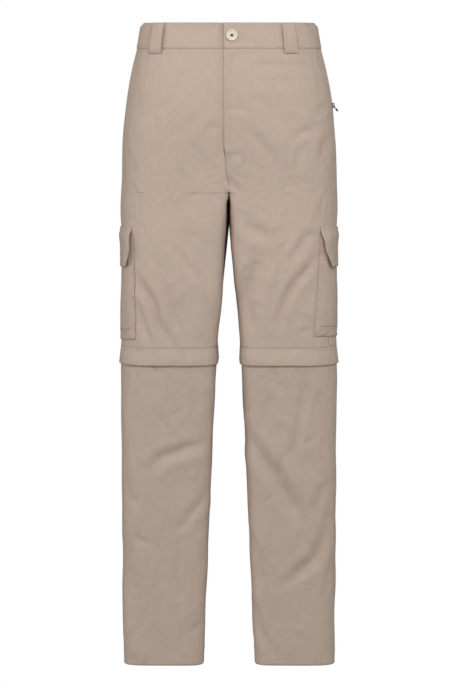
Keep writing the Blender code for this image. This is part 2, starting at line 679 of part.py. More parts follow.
def zip_pocket(cloth, metal, grip_finish):
    heights = stacked(ZIP_POCKET_TOP + 0.008, (ZIP_POCKET_BOTTOM - 0.008, 5))
    half = lambda height: SIDE_TAPE_HALF / half_width(height)
    start = lambda height: side_seam(height) - half(height)
    end = lambda height: side_seam(height) + half(height)
    across = between(start, end, 2)
    sheet("side_zip_tape", 1, heights, across, flat(UNDER_PANEL - TAPE_WALL / 2), TAPE_WALL, cloth)

    seat = local_frame(1, side_seam(np.array([SLIDER_HEIGHT]))[0], SLIDER_HEIGHT, SEAM_GAP)
    body = block(
        "side_zip_slider",
        (SLIDER_WIDTH, SLIDER_LENGTH, SLIDER_THICKNESS),
        (0, 0, SLIDER_THICKNESS / 2),
        metal,
        0.0005,
    )
    rise = BRIDGE_OPENING + BRIDGE_BAR
    bridge = block(
        "slider_bridge",
        (BRIDGE_WIDTH, BRIDGE_LENGTH, rise + 0.0006),
        (0, 0, SLIDER_THICKNESS + (rise - 0.0006) / 2),
        metal,
    )
    window = block(
        "bridge_window",
        (SLIDER_WIDTH, BRIDGE_LENGTH - 2 * BRIDGE_POST, BRIDGE_OPENING),
        (0, 0, SLIDER_THICKNESS + BRIDGE_OPENING / 2),
        metal,
    )
    for tool, operation in ((bridge, "UNION"), (window, "DIFFERENCE")):
        tool.parent = body
        combine(body, tool, operation)
    body.matrix_world = seat

    pivot = Matrix.Translation((0, 0, SLIDER_THICKNESS + BRIDGE_OPENING / 2))
    hung = seat @ pivot @ Matrix.Rotation(-PULL_REST, 4, "X")
    plate_length = PULL_LENGTH + PULL_BAR / 2
    plate = block(
        "side_zip_pull",
        (PULL_WIDTH, plate_length, PULL_BAR * 0.9),
        (0, PULL_BAR / 2 - plate_length / 2, 0),
        metal,
        0.0003,
    )
    eye = block(
        "pull_eye",
        (PULL_WIDTH - 2 * PULL_ARM, PULL_WINDOW - PULL_BAR / 2, 0.004),
        (0, -(PULL_WINDOW + PULL_BAR / 2) / 2, 0),
        metal,
    )
    tongue = block(
        "pull_tongue",
        (TONGUE_WIDTH, TONGUE_LENGTH + 0.001, TONGUE_THICKNESS),
        (0, -PULL_LENGTH - (TONGUE_LENGTH - 0.001) / 2, 0),
        metal,
    )
    for tool, operation in ((eye, "DIFFERENCE"), (tongue, "UNION")):
        tool.parent = plate
        combine(plate, tool, operation)
    plate.matrix_world = hung

    grip_top = -PULL_LENGTH - SEAM_GAP
    grip = block(
        "side_zip_grip",
        (GRIP_WIDTH, GRIP_LENGTH, GRIP_THICKNESS),
        (0, grip_top - GRIP_LENGTH / 2, 0),
        grip_finish,
        0.0007,
    )
    slot = block(
        "grip_slot",
        (TONGUE_WIDTH + 2 * SEAM_GAP, 2 * TONGUE_LENGTH, TONGUE_THICKNESS + 2 * SEAM_GAP),
        (0, grip_top, 0),
        grip_finish,
    )
    slot.parent = grip
    combine(grip, slot, "DIFFERENCE")
    grip.matrix_world = hung


# Cargo pockets on the outer thighs: a flap over a face that a folded gusset carries round three sides

POCKET_TOP = -0.322
POCKET_STANDS = 0.0031
GUSSET_SIDE = math.radians(5.5)
GUSSET_DROP = 0.016
FLAP_TOP = -0.3050
FLAP_CORNER = -0.3430
FLAP_BOTTOM = -0.3700
FLAP_WALL = 0.0016
FLAP_LIFT = 0.0020
FLAP_CUT = math.radians(10)
FLAP_BEYOND = math.radians(1)
POCKET_SPAN = math.radians(92)
POCKET_TILT = 0.0065

Pocket = namedtuple("Pocket", "bottom front_top front_bottom flap_top flap_corner flap_bottom")
# The height of each pocket's bottom seam, then distances from the middle plane: of its front edge at
# the top and the bottom, and of its flap's front edge at the top, the corner and the bottom
POCKETS = {
    "left": Pocket(-0.4840, 0.1470, 0.1376, 0.1464, 0.1500, 0.1590),
    "right": Pocket(-0.4895, 0.1540, 0.1506, 0.1572, 0.1540, 0.1600),
}


def pocket_front(word, height):
    pocket = POCKETS[word]
    share = np.clip((POCKET_TOP - height) / (POCKET_TOP - pocket.bottom), -0.1, 1)
    return angle_at(pocket.front_top + (pocket.front_bottom - pocket.front_top) * share, height)


def tilted(word):
    """A pocket's height falls a little from its front edge to the side of the leg and on behind it."""
    start = pocket_front(word, POCKET_TOP)
    return lambda angle: -POCKET_TILT * (angle - start) / (math.pi / 2 - start)


def pocket_face(word, side, cloth):
    """The pocket's face, flat above the leg, with its mouth open under the flap."""
    heights = stacked(POCKET_TOP, (POCKETS[word].bottom + GUSSET_DROP, 7))
    start = lambda height: pocket_front(word, height) + GUSSET_SIDE
    end = lambda height: pocket_front(word, height) + POCKET_SPAN - GUSSET_SIDE
    across = between(start, end, 8)
    face = flat(POCKET_STANDS)
    sheet(f"cargo_pocket_{word}", side, heights, across, face, PANEL_WALL, cloth, lean=tilted(word))


def gusset(word, side, cloth):
    """A strip round three sides of the face, from its edge out and down to the seam on the leg."""
    across, down = 8, 6
    bottom = POCKETS[word].bottom
    drop = [POCKET_TOP + (bottom - POCKET_TOP) * k / down for k in range(down + 1)]
    route = [(0.0, z) for z in drop]
    route += [(k / across, bottom) for k in range(1, across + 1)]
    route += [(1.0, z) for z in reversed(drop[:-1])]
    along, route_height = np.array(route).T
    rows, normals = [], []
    for share_in, stand in ((0.0, PANEL_WALL + 1.5 * LAYER_GAP), (1.0, POCKET_STANDS)):
        trim = SEAM_GAP * share_in
        inner_bottom = bottom + (GUSSET_DROP - trim) * share_in
        fall = (POCKET_TOP - route_height) / (POCKET_TOP - bottom)
        level_height = POCKET_TOP + (inner_bottom - POCKET_TOP) * fall
        inset = (GUSSET_SIDE - trim / half_width(level_height)) * share_in
        angle = pocket_front(word, level_height) + inset + (POCKET_SPAN - 2 * inset) * along
        height = level_height + tilted(word)(angle)
        normal = outward(side, skin, angle, height)
        rows.append(skin(side, angle, height) + normal * stand)
        normals.append(normal)
    outer, normals = np.stack(rows), np.stack(normals)
    wall(f"cargo_gusset_{word}", outer, outer - normals * PANEL_WALL, cloth)


def flap_front(word, height):
    """The flap's front edge runs down to its corner, which is cut away below."""
    pocket = POCKETS[word]
    levels = (FLAP_BOTTOM, FLAP_CORNER, FLAP_TOP)
    x = np.interp(height, levels, (pocket.flap_bottom, pocket.flap_corner, pocket.flap_top))
    return angle_at(x, height)


def flap_back(word, height):
    cut = FLAP_CUT * ease(-height, -FLAP_CORNER, -FLAP_BOTTOM)
    return pocket_front(word, POCKET_TOP) + POCKET_SPAN + FLAP_BEYOND - cut


def flap(word, side, cloth):
    """Sewn to the leg along its top, it falls over the mouth and lifts off towards its free corners."""
    heights = stacked(FLAP_TOP, (FLAP_TOP - 0.008, 2), (FLAP_CORNER, 3), (FLAP_BOTTOM, 3))
    start = lambda height: flap_front(word, height)
    end = lambda height: flap_back(word, height)

    def face(points, angle, height):
        nominal = height - tilted(word)(angle)
        over = LAYER_GAP + POCKET_STANDS * ease(-nominal, -FLAP_TOP + 0.003, -FLAP_TOP + 0.013)
        share = (angle - start(nominal)) / (end(nominal) - start(nominal))
        corner = 1 - ease(np.minimum(share, 1 - share), 0, 0.22)
        fall = ease(-nominal, -FLAP_TOP + 0.008, -FLAP_CORNER)
        return over + FLAP_WALL + FLAP_LIFT * corner * fall

    across = between(start, end, 9)
    sheet(f"cargo_flap_{word}", side, heights, across, face, FLAP_WALL, cloth, lean=tilted(word))


LABEL_TOP, LABEL_BOTTOM = -0.404, -0.437
LABEL_FRONT, LABEL_BACK = math.radians(82), math.radians(96)
LABEL_WALL = 0.0007


def cargo_pockets(cloth, dark):
    for side, word in ((1, "left"), (-1, "right")):
        pocket_face(word, side, cloth)
        gusset(word, side, cloth)
        flap(word, side, cloth)
    heights = stacked(LABEL_TOP, (LABEL_BOTTOM, 2))
    across = between(level(LABEL_FRONT), level(LABEL_BACK), 3)
    sheet("pocket_label", 1, heights, across, flat(POCKET_STANDS + SEAM_GAP + LABEL_WALL), LABEL_WALL, dark)


# The knees: a zip tape behind the parted panels, its slider, and a band that hangs over both

BAND_FLARE = 0.0030
TAPE_HALF = 0.0115
KNEE_SLIDER = (0.0062, 0.0080, 0.0014)
KNEE_SLIDER_ANGLE = math.radians(95)


def knees(cloth, metal):
    flare = lambda points, angle, height: BAND_FLARE * (BAND_TOP - height) / (BAND_TOP - BAND_BOTTOM)
    below = lambda height: np.clip((UPPER_BOTTOM - height) / (UPPER_BOTTOM - LOWER_TOP), 0, 1)
    tape_face = lambda points, angle, height: UNDER_PANEL - UNDER_BAND * (1 - below(height))
    band = np.array([BAND_TOP - SEAM_GAP, UPPER_BOTTOM, LOWER_TOP, BAND_BOTTOM])
    tape = np.array([ZIP_LINE + TAPE_HALF, UPPER_BOTTOM, LOWER_TOP, ZIP_LINE - TAPE_HALF])
    for side, word in ((1, "left"), (-1, "right")):
        sheet(f"knee_band_{word}", side, band, round_leg, flare, BAND_WALL, cloth, ring=True)
        sheet(f"knee_zip_{word}", side, tape, round_leg, tape_face, TAPE_WALL, cloth, ring=True)
        slider = block(f"knee_slider_{word}", KNEE_SLIDER, (0, 0, KNEE_SLIDER[2] / 2), metal, 0.0003)
        stand = UNDER_PANEL - UNDER_BAND / 2 + LAYER_GAP
        slider.matrix_world = local_frame(side, KNEE_SLIDER_ANGLE, ZIP_LINE, stand)


def main():
    clear_scene()
    cloth = material("trouser_cloth", CLOTH_COLOUR, 0.85)
    dark = material("dark_trim", DARK_COLOUR, 0.7)
    horn = material("button_horn", HORN_COLOUR, 0.35)
    metal = material("zip_metal", METAL_COLOUR, 0.35, 1.0)
    panels(cloth)
    fly_shield(cloth)
    waistband(cloth)
    belt_loops(cloth)
    button(horn)
    zip_pocket(cloth, metal, dark)
    cargo_pockets(cloth, dark)
    knees(cloth, metal)


main()
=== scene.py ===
import math
from collections import namedtuple

import bpy
import numpy as np
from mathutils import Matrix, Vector


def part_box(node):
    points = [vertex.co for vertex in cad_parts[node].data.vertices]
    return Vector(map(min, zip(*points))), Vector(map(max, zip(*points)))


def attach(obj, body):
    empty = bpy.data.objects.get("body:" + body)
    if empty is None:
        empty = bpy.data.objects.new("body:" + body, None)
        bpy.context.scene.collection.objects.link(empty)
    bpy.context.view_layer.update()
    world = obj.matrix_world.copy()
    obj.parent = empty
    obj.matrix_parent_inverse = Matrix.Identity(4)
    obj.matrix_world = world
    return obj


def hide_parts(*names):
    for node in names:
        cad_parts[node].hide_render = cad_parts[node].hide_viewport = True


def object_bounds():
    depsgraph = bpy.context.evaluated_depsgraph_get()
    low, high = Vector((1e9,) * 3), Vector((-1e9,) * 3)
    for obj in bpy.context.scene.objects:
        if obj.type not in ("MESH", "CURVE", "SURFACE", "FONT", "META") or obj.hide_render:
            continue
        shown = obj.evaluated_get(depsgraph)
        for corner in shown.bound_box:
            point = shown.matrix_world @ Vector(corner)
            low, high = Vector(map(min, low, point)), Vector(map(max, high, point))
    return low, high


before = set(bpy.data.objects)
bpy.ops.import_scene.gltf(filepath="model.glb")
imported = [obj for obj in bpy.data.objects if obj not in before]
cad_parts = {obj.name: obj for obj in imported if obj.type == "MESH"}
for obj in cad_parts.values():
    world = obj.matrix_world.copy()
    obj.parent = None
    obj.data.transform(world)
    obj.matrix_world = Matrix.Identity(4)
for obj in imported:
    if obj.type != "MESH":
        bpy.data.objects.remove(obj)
cad_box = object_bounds()
garment = "garment"


# The studio. The trousers are seen filled out and upright, from straight ahead and a little above, with
# a long lens, before a white sweep. One wide soft light above the camera, aimed at the waist, does most of
# the lighting, and a weaker one on each side lights the flanks.

PHOTO_WIDTH, PHOTO_HEIGHT = 458, 688
SENSOR = 36.0
LENS = 140.49
CAMERA_DISTANCE = 4.4
CAMERA_PITCH = math.radians(6.555)
FLOOR_BELOW_HEM = 0.30
WAIST_POINT, THIGH_POINT = (0, 0, -0.05), (0, 0, -0.40)

Lamp = namedtuple("Lamp", "name place target width height spread power")
# Each soft light's place and what it is aimed at, its size in metres, its spread in degrees and its watts
LAMPS = [
    Lamp("key_light", (0.40, -2.5, 0.95), WAIST_POINT, 3.0, 1.5, 100, 21),
    Lamp("left_fill", (-2.9, -1.3, 0.3), THIGH_POINT, 2.0, 2.0, 180, 38),
    Lamp("right_fill", (2.9, -1.3, 0.3), THIGH_POINT, 2.0, 2.0, 180, 17),
]

studio = bpy.context.scene
studio.view_settings.view_transform = "Standard"
long_lens = bpy.data.cameras.new("studio_camera")
long_lens.lens, long_lens.sensor_width = LENS, SENSOR
camera = bpy.data.objects.new("studio_camera", long_lens)
camera.location = (0, -CAMERA_DISTANCE, 0)
camera.rotation_euler = (math.pi / 2 - CAMERA_PITCH, 0, 0)
studio.collection.objects.link(camera)
studio.camera = camera

for lamp in LAMPS:
    glow = bpy.data.lights.new(lamp.name, "AREA")
    glow.shape, glow.size, glow.size_y = "RECTANGLE", lamp.width, lamp.height
    glow.energy = lamp.power
    glow.spread = math.radians(lamp.spread)
    light = bpy.data.objects.new(lamp.name, glow)
    light.location = lamp.place
    light.rotation_euler = (Vector(lamp.target) - Vector(lamp.place)).to_track_quat("-Z", "Y").to_euler()
    studio.collection.objects.link(light)

# The camera sees a pure white backdrop, and the cloth gets a weaker light from the room all round
ROOM_LIGHT = 0.205
world = bpy.data.worlds.new("white_room")
world.use_nodes = True
studio.world = world
tree = world.node_tree
room, backdrop = tree.nodes["Background"], tree.nodes.new("ShaderNodeBackground")
room.inputs["Color"].default_value = (1, 1, 1, 1)
room.inputs["Strength"].default_value = ROOM_LIGHT
backdrop.inputs["Color"].default_value = (1, 1, 1, 1)
backdrop.inputs["Strength"].default_value = 1.0
seen, pick = tree.nodes.new("ShaderNodeLightPath"), tree.nodes.new("ShaderNodeMixShader")
tree.links.new(seen.outputs["Is Camera Ray"], pick.inputs[0])
tree.links.new(room.outputs[0], pick.inputs[1])
tree.links.new(backdrop.outputs[0], pick.inputs[2])
tree.links.new(pick.outputs[0], tree.nodes["World Output"].inputs[0])

# The floor is a pale disc below the hems, lower than the photograph's frame reaches
FLOOR_RADIUS, FLOOR_SIDES = 0.75, 96
FLOOR_WHITE = (0.62, 0.62, 0.62, 1)
floor_height = cad_box[0][2] - FLOOR_BELOW_HEM
floor_mesh = bpy.data.meshes.new("floor")
rim = [math.tau * k / FLOOR_SIDES for k in range(FLOOR_SIDES)]
floor_points = [(FLOOR_RADIUS * math.cos(a), FLOOR_RADIUS * math.sin(a), floor_height) for a in rim]
floor_mesh.from_pydata(floor_points, [], [range(FLOOR_SIDES)])
floor = bpy.data.objects.new("floor", floor_mesh)
studio.collection.objects.link(floor)
floor_paint = bpy.data.materials.new("floor_white")
floor_paint.use_nodes = True
floor_shader = floor_paint.node_tree.nodes["Principled BSDF"]
floor_shader.inputs["Base Color"].default_value = FLOOR_WHITE
floor_shader.inputs["Roughness"].default_value = 0.9
floor_mesh.materials.append(floor_paint)


# The front and back panels of the thighs and hips: light khaki plain-woven cloth, two fronts and two
# backs, cut to the leg's outline and joined at the sides, the inseams and the middle. The wearer's
# left is +X. They hang from the waistband and end just above the knee zips.

WAIST_TOP, WAIST_SEAM = 0.0205, -0.0205
FLY_END = -0.172
CROTCH = -0.2516
BAND_TOP, BAND_BOTTOM = -0.5055, -0.5320
ZIP_LINE = -0.518
HEM = -1.0373
SEAM_GAP = 0.0003
HALF_GAP = SEAM_GAP / 2
LAYER_GAP = 0.0007
PANEL_WALL = 0.0012

Section = namedtuple("Section", "height outer centre inner front back middle square inner_square seam")
# The leg's outline at each height: its widest points from the middle plane, its depths to the front
# and back of middle, the outline's exponent and the side seam's angle in degrees.
SECTIONS = [
    Section(0.0205, 0.1425, 0.0000, -0.1425, 0.106, 0.111, 0.000, 2.9, 2.9, 78),
    Section(-0.0205, 0.1495, 0.0000, -0.1495, 0.111, 0.116, 0.000, 2.9, 2.9, 76),
    Section(-0.056, 0.1582, 0.0060, -0.1580, 0.115, 0.123, 0.000, 2.9, 2.9, 75),
    Section(-0.088, 0.1645, 0.0170, -0.1600, 0.117, 0.129, 0.000, 2.9, 3.0, 74.5),
    Section(-0.125, 0.1695, 0.0340, -0.1550, 0.117, 0.135, 0.002, 2.9, 3.2, 74),
    Section(-0.160, 0.1728, 0.0520, -0.1440, 0.115, 0.137, 0.004, 2.9, 4.4, 73),
    Section(-0.190, 0.1747, 0.0650, -0.1270, 0.112, 0.135, 0.006, 2.9, 6.0, 71),
    Section(-0.215, 0.1758, 0.0745, -0.1000, 0.109, 0.130, 0.0070, 2.9, 9.0, 69),
    Section(-0.235, 0.1765, 0.0805, -0.0640, 0.1063, 0.124, 0.0068, 2.9, 14.0, 68),
    Section(-0.246, 0.1768, 0.0830, -0.0260, 0.1050, 0.1205, 0.0065, 2.9, 20.0, 68),
    Section(CROTCH, 0.1770, 0.0842, 0.0000, 0.1043, 0.1190, 0.0063, 2.9, 24.0, 68),
    Section(-0.280, 0.1775, 0.0868, -0.0015, 0.1010, 0.1120, 0.0045, 2.9, 14.0, 67),
    Section(-0.305, 0.1768, 0.0875, -0.0010, 0.0982, 0.1080, 0.0022, 2.9, 9.0, 66),
    Section(-0.325, 0.1750, 0.0880, 0.0010, 0.0965, 0.1050, 0.0010, 2.9, 8.0, 65),
    Section(-0.345, 0.1737, 0.0885, 0.0031, 0.0950, 0.1010, 0.000, 2.9, 7.5, 65),
    Section(-0.420, 0.1747, 0.0926, 0.0109, 0.0900, 0.0910, -0.001, 3.0, 6.5, 63),
    Section(-0.470, 0.1753, 0.0952, 0.0156, 0.0870, 0.0850, 0.000, 3.1, 6.0, 62),
    Section(-0.502, 0.1779, 0.0975, 0.0182, 0.0850, 0.0820, 0.001, 3.2, 6.0, 62),
    Section(-0.518, 0.1781, 0.0985, 0.0189, 0.0840, 0.0800, 0.001, 3.2, 6.0, 62),
    Section(-0.549, 0.1778, 0.0993, 0.0209, 0.0820, 0.0790, 0.003, 3.5, 6.0, 60),
    Section(-0.640, 0.1776, 0.1016, 0.0256, 0.0770, 0.0790, 0.009, 4.0, 6.0, 57),
    Section(-0.766, 0.1770, 0.1041, 0.0312, 0.0700, 0.0780, 0.014, 4.4, 6.0, 57),
    Section(-0.900, 0.1764, 0.1067, 0.0370, 0.0630, 0.0720, 0.016, 4.6, 6.0, 59),
    Section(HEM, 0.1758, 0.1092, 0.0425, 0.0580, 0.0640, 0.016, 5.0, 6.0, 62),
]

Crease = namedtuple("Crease", "width depth path")
# Creases of the front as they show in the photograph: width and depth in millimetres, then the path's
# points in its pixels. Those of the wearer's right leg come first, from the hips down.
FRONT_CREASES = [
    Crease(5, 1.2, ((206, 129), (213, 127), (220, 126))),
    Crease(5, 1, ((175, 162), (180, 172), (185, 183))),
    Crease(4, 0.9, ((214, 157), (221, 156))),
    Crease(7, 5.8, ((137, 278), (150, 300), (156, 312), (159, 325), (167, 338), (171, 346))),
    Crease(6, 3.2, ((138, 306), (143, 325), (150, 343))),
    Crease(7, 2.6, ((156, 248), (157, 264), (160, 280), (165, 290), (171, 312), (176, 326), (182, 337))),
    Crease(6, 2.3, ((168, 241), (179, 255), (188, 268), (195, 276))),
    Crease(8, 3.5, ((203, 253), (203, 269), (205, 290), (209, 309), (213, 329), (214, 347))),
    Crease(4, 2.1, ((152, 367), (156, 373), (160, 378))),
    Crease(8.8, 4.5, ((207, 445), (196, 450), (188, 451), (176, 455), (160, 461), (154, 469), (146, 473))),
    Crease(6.4, 2.1, ((189, 369), (192, 379), (195, 394), (195, 411), (192, 424))),
    Crease(5.6, 1.8, ((133, 369), (135, 392), (131, 406), (132, 429))),
    Crease(5.6, 1.5, ((153, 403), (159, 419), (166, 427))),
    Crease(4, 1.1, ((143, 490), (152, 490))),
    Crease(4.8, 1.6, ((126, 497), (131, 504), (137, 510))),
    Crease(7.2, 3.2, ((208, 491), (201, 507), (189, 520), (185, 528), (172, 533))),
    Crease(4.8, 1.5, ((179, 536), (179, 556), (178, 575), (175, 583), (181, 599), (181, 614))),
    Crease(5.6, 2, ((131, 534), (138, 545), (150, 548))),
    Crease(9.6, 3.8, ((127, 553), (130, 579), (133, 603), (137, 637), (144, 648))),
    Crease(5.6, 1.8, ((203, 627), (196, 634), (191, 642))),
    Crease(6, 2.2, ((249, 64), (264, 65.6), (282, 65.5), (299, 66.4), (312, 68.5), (321, 71.6))),
    Crease(4, 1.2, ((238, 52), (235, 58), (233, 64))),
    Crease(5, 1, ((238, 52), (247, 53), (256, 55))),
    Crease(9, 1.6, ((257, 76), (278, 81), (299, 84))),
    Crease(8, 1.6, ((251, 94), (260, 101), (269, 108))),
    Crease(5, 1.5, ((225, 108), (232, 109), (240, 109))),
    Crease(8, 2, ((252, 132), (262, 144), (275, 162))),
    Crease(5, 1.5, ((229, 154), (241, 154))),
    Crease(5, 3.8, ((229, 177), (233, 184), (240, 193))),
    Crease(7, 2.5, ((292, 138), (304, 132), (316, 128))),
    Crease(6, 2, ((316, 113), (328, 107))),
    Crease(7, 2.5, ((322, 161), (324, 148), (327, 135))),
    Crease(9, 4.3, ((246, 218), (251, 228), (261, 234), (269, 240))),
    Crease(13, 8.7, ((258, 258), (254, 275), (250, 288), (246, 300), (249, 320), (251, 340))),
    Crease(5, 1.7, ((257, 305), (260, 308), (263, 310))),
    Crease(6, 4.6, ((317, 257), (310, 264), (303, 275), (296, 282), (287, 296), (281, 314), (278, 329))),
    Crease(6, 3.5, ((317, 235), (307, 236), (299, 249), (291, 261))),
    Crease(5, 1.7, ((288, 241), (283, 247), (278, 252))),
    Crease(5, 2, ((311, 330), (305, 332), (299, 334))),
    Crease(10.4, 7.2, ((248, 435), (256, 450), (266, 466), (275, 477), (284, 493), (290, 506), (300, 522))),
    Crease(5.6, 2, ((274, 369), (276, 383), (281, 391))),
    Crease(6.4, 2.5, ((302, 374), (305, 392), (302, 415), (299, 429), (296, 447), (294, 461))),
    Crease(4.8, 1.6, ((305, 448), (310, 444), (316, 441))),
    Crease(5.6, 1.6, ((326, 366), (330, 382), (333, 400))),
    Crease(6.4, 2.1, ((333, 486), (322, 495), (319, 507), (318, 519))),
    Crease(8.8, 5.4, ((328, 522), (326, 539), (321, 552), (315, 565), (300, 578), (293, 586), (281, 591))),
    Crease(6.4, 2.8, ((252, 537), (258, 556), (262, 579), (266, 603), (272, 621), (277, 643))),
    Crease(5.6, 3.6, ((257, 614), (260, 635), (267, 651), (274, 660))),
    Crease(6.4, 2.1, ((331, 565), (328, 598), (323, 607))),
]
# Creases of the back, which the photograph doesn't show, in millimetres from the waist's middle
BACK_CREASES = [
    Crease(12, 4.5, ((20, -288), (70, -278), (115, -258))),
    Crease(12, 3.5, ((35, -335), (80, -332), (130, -322))),
    Crease(13, 4.5, ((150, -566), (100, -586), (55, -612))),
    Crease(13, 4.0, ((65, -700), (110, -732), (150, -775))),
    Crease(9, 2.0, ((60, -850), (110, -885), (145, -900))),
    Crease(8, 1.6, ((70, -420), (100, -445), (120, -480))),
    Crease(12, 4.5, ((-20, -285), (-70, -276), (-120, -262))),
    Crease(12, 3.5, ((-35, -330), (-85, -327), (-135, -318))),
    Crease(13, 4.5, ((-145, -560), (-95, -578), (-50, -605))),
    Crease(13, 4.0, ((-60, -690), (-105, -722), (-155, -760))),
    Crease(9, 2.0, ((-150, -860), (-105, -890), (-65, -905))),
    Crease(8, 1.6, ((-75, -410), (-95, -440), (-115, -475))),
]
CREASE_FADE = 0.35
FRONT_PLANE = -0.09
# The low swell beside a crease: its height as a share of the depth, then its place and spread in widths
SWELL_HEIGHT, SWELL_PLACE, SWELL_SPREAD = 0.3, 2.1, 0.9
CREASE_START, CREASE_END, CREASE_TAPER = 0.03, 0.97, 0.6


def on_front(pixel):
    """The (x, z) in metres of a pixel of the photograph, on a plane through the front of the legs."""
    focus = LENS / SENSOR * PHOTO_HEIGHT
    right, up = (pixel[0] - PHOTO_WIDTH / 2) / focus, (PHOTO_HEIGHT / 2 - pixel[1]) / focus
    ahead = math.cos(CAMERA_PITCH) + math.sin(CAMERA_PITCH) * up
    reach = (CAMERA_DISTANCE + FRONT_PLANE) / ahead
    return reach * right, reach * (math.cos(CAMERA_PITCH) * up - math.sin(CAMERA_PITCH))


def in_metres(crease, place):
    return Crease(crease.width / 1000, crease.depth / 1000, np.array([place(p) for p in crease.path]))


front_creases = [in_metres(crease, on_front) for crease in FRONT_CREASES]
back_creases = [in_metres(crease, lambda p: (p[0] / 1000, p[1] / 1000)) for crease in BACK_CREASES]


def ease(value, start, end):
    """0 before start, 1 after end, and a smooth step between them."""
    share = np.clip((value - start) / (end - start), 0, 1)
    return share * share * (3 - 2 * share)


def column(name, height):
    """A column of SECTIONS at any heights: a cubic through the rows that never overshoots them."""
    levels = np.array([row.height for row in SECTIONS])[::-1]
    values = np.array([getattr(row, name) for row in SECTIONS], float)[::-1]
    slopes = np.diff(values) / np.diff(levels)
    before, after = slopes[:-1], slopes[1:]
    agree = before * after > 0
    total = np.where(agree, before + after, 1)
    inside = np.where(agree, 2 * before * after / total, 0)
    tangents = np.concatenate([slopes[:1], inside, slopes[-1:]])
    at = np.clip(np.searchsorted(levels, height) - 1, 0, len(levels) - 2)
    step = levels[at + 1] - levels[at]
    t = np.clip((height - levels[at]) / step, 0, 1)
    rise = values[at + 1] - values[at]
    bend = (t - 1) * tangents[at] + t * tangents[at + 1]
    return values[at] + rise * t * t * (3 - 2 * t) + t * (t - 1) * step * bend


def half_width(height, across=1):
    """From a leg's centre to its widest point, on its outer side, or its inner where across is negative."""
    outer = column("outer", height) - column("centre", height)
    inner = column("centre", height) - column("inner", height)
    return np.where(np.asarray(across) < 0, inner, outer)


def squareness(height, across):
    return np.where(np.asarray(across) < 0, column("inner_square", height), column("square", height))


def angle_at(x, height, depth="front"):
    """The angle at which a leg's outline is at x from the middle plane, on its front or its back."""
    height = np.asarray(height, float)
    across = x - column("centre", height)
    share = np.clip(np.abs(across) / half_width(height, across), 0, 1)
    square = squareness(height, across)
    along = column(depth, height) * (1 - share**square) ** (1 / square)
    angle = np.arctan2(across, np.maximum(along, 1e-9))
    return angle if depth == "front" else math.pi - angle


def beyond(angle, height):
    """Whether an angle above the crotch is past the middle plane, and its mirror image there."""
    front, back = angle_at(0.0, height), angle_at(0.0, height, "back")
    past = (height > CROTCH) & ((angle < front) | (angle > back))
    return past, np.where(angle < front, 2 * front - angle, 2 * back - angle)


# Under the fork the front halves of the thighs stand apart: for each side how far at most, and the height
# where it is back at the outline
FORK_GAPS = {1: (0.0030, -0.345), -1: (0.0050, -0.430)}
FORK_OPENS = 0.022
FORK_CLOSES = -0.300
# Sines and cosines between which the gap sets in towards the inner side and the front
INNER_SIDE, FRONT_HALF = (0.2, 0.75), (-0.35, 0.05)


def fork_gap(side, angle, height):
    """How far a leg's inner side stands back from its widest outline, which is kept behind its centre."""
    widest, low = FORK_GAPS[side]
    inner_side, front_half = ease(-np.sin(angle), *INNER_SIDE), ease(np.cos(angle), *FRONT_HALF)
    opened = ease(-height, -CROTCH, -CROTCH + FORK_OPENS) * (1 - ease(-height, -FORK_CLOSES, -low))
    return widest * opened * inner_side * front_half


def outline(side, angle, height):
    """Points of one leg's smooth outline. side is 1 for the wearer's left. angle 0 is the front and a
    right angle the outer side. Past the middle plane the outline goes on along the other leg's."""
    past, mirrored = beyond(angle, height)
    apart = side * fork_gap(side, angle, height)
    angle = np.where(past, mirrored, angle)
    side = np.where(past, -side, side)
    depth = np.where(np.cos(angle) > 0, column("front", height), column("back", height))
    across = np.sin(angle)
    square = squareness(height, across)
    reach = (
        np.abs(across / half_width(height, across)) ** square
        + np.abs(np.cos(angle) / depth) ** square
    ) ** (-1 / square)
    x = side * (column("centre", height) + reach * across) + apart
    y = column("middle", height) - reach * np.cos(angle)
    return np.stack([x, y, height * np.ones_like(x)], axis=-1)


def outward(side, surface, angle, height):
    """Unit normals of a surface, which is a function of side, angle and height."""
    turn, lift = 0.004, 0.001
    across = surface(side, angle + turn, height) - surface(side, angle - turn, height)
    along = surface(side, angle, height + lift) - surface(side, angle, height - lift)
    normal = side * np.cross(across, along)
    return normal / np.linalg.norm(normal, axis=-1, keepdims=True)


def crease_depth(points, facing, creases):
    """How far creases sink these points: a trough with a low swell on both sides, fading at its ends."""
    place = points[..., [0, 2]].reshape(-1, 2)
    depth = np.zeros(len(place))
    for crease in creases:
        margin = 4 * crease.width
        low, high = crease.path.min(0) - margin, crease.path.max(0) + margin
        near = np.flatnonzero(((place > low) & (place < high)).all(axis=1))
        if not len(near):
            continue
        runs = np.diff(crease.path, axis=0)
        lengths = np.linalg.norm(runs, axis=1)
        starts = np.concatenate([[0], np.cumsum(lengths)[:-1]])
        offset = place[near, None, :] - crease.path[None, :-1, :]
        share = np.clip((offset * runs).sum(-1) / lengths**2, 0, 1)
        away = np.linalg.norm(offset - share[..., None] * runs, axis=-1)
        nearest = away.argmin(axis=1)
        pick = np.arange(len(near))
        along = (starts + share * lengths)[pick, nearest] / lengths.sum()
        across = away[pick, nearest] / crease.width
        swell = SWELL_HEIGHT * np.exp(-((across - SWELL_PLACE) ** 2) / SWELL_SPREAD)
        profile = np.exp(-(across**2)) - swell
        fade = np.sin(math.pi * np.clip(along, CREASE_START, CREASE_END)) ** CREASE_TAPER
        depth[near] += crease.depth * profile * fade
    return depth.reshape(points.shape[:-1]) * ease(facing, 0, CREASE_FADE)


WAVE_HEIGHT, WAVES_START, WAVES_FULL = 0.0007, 0.03, 0.12


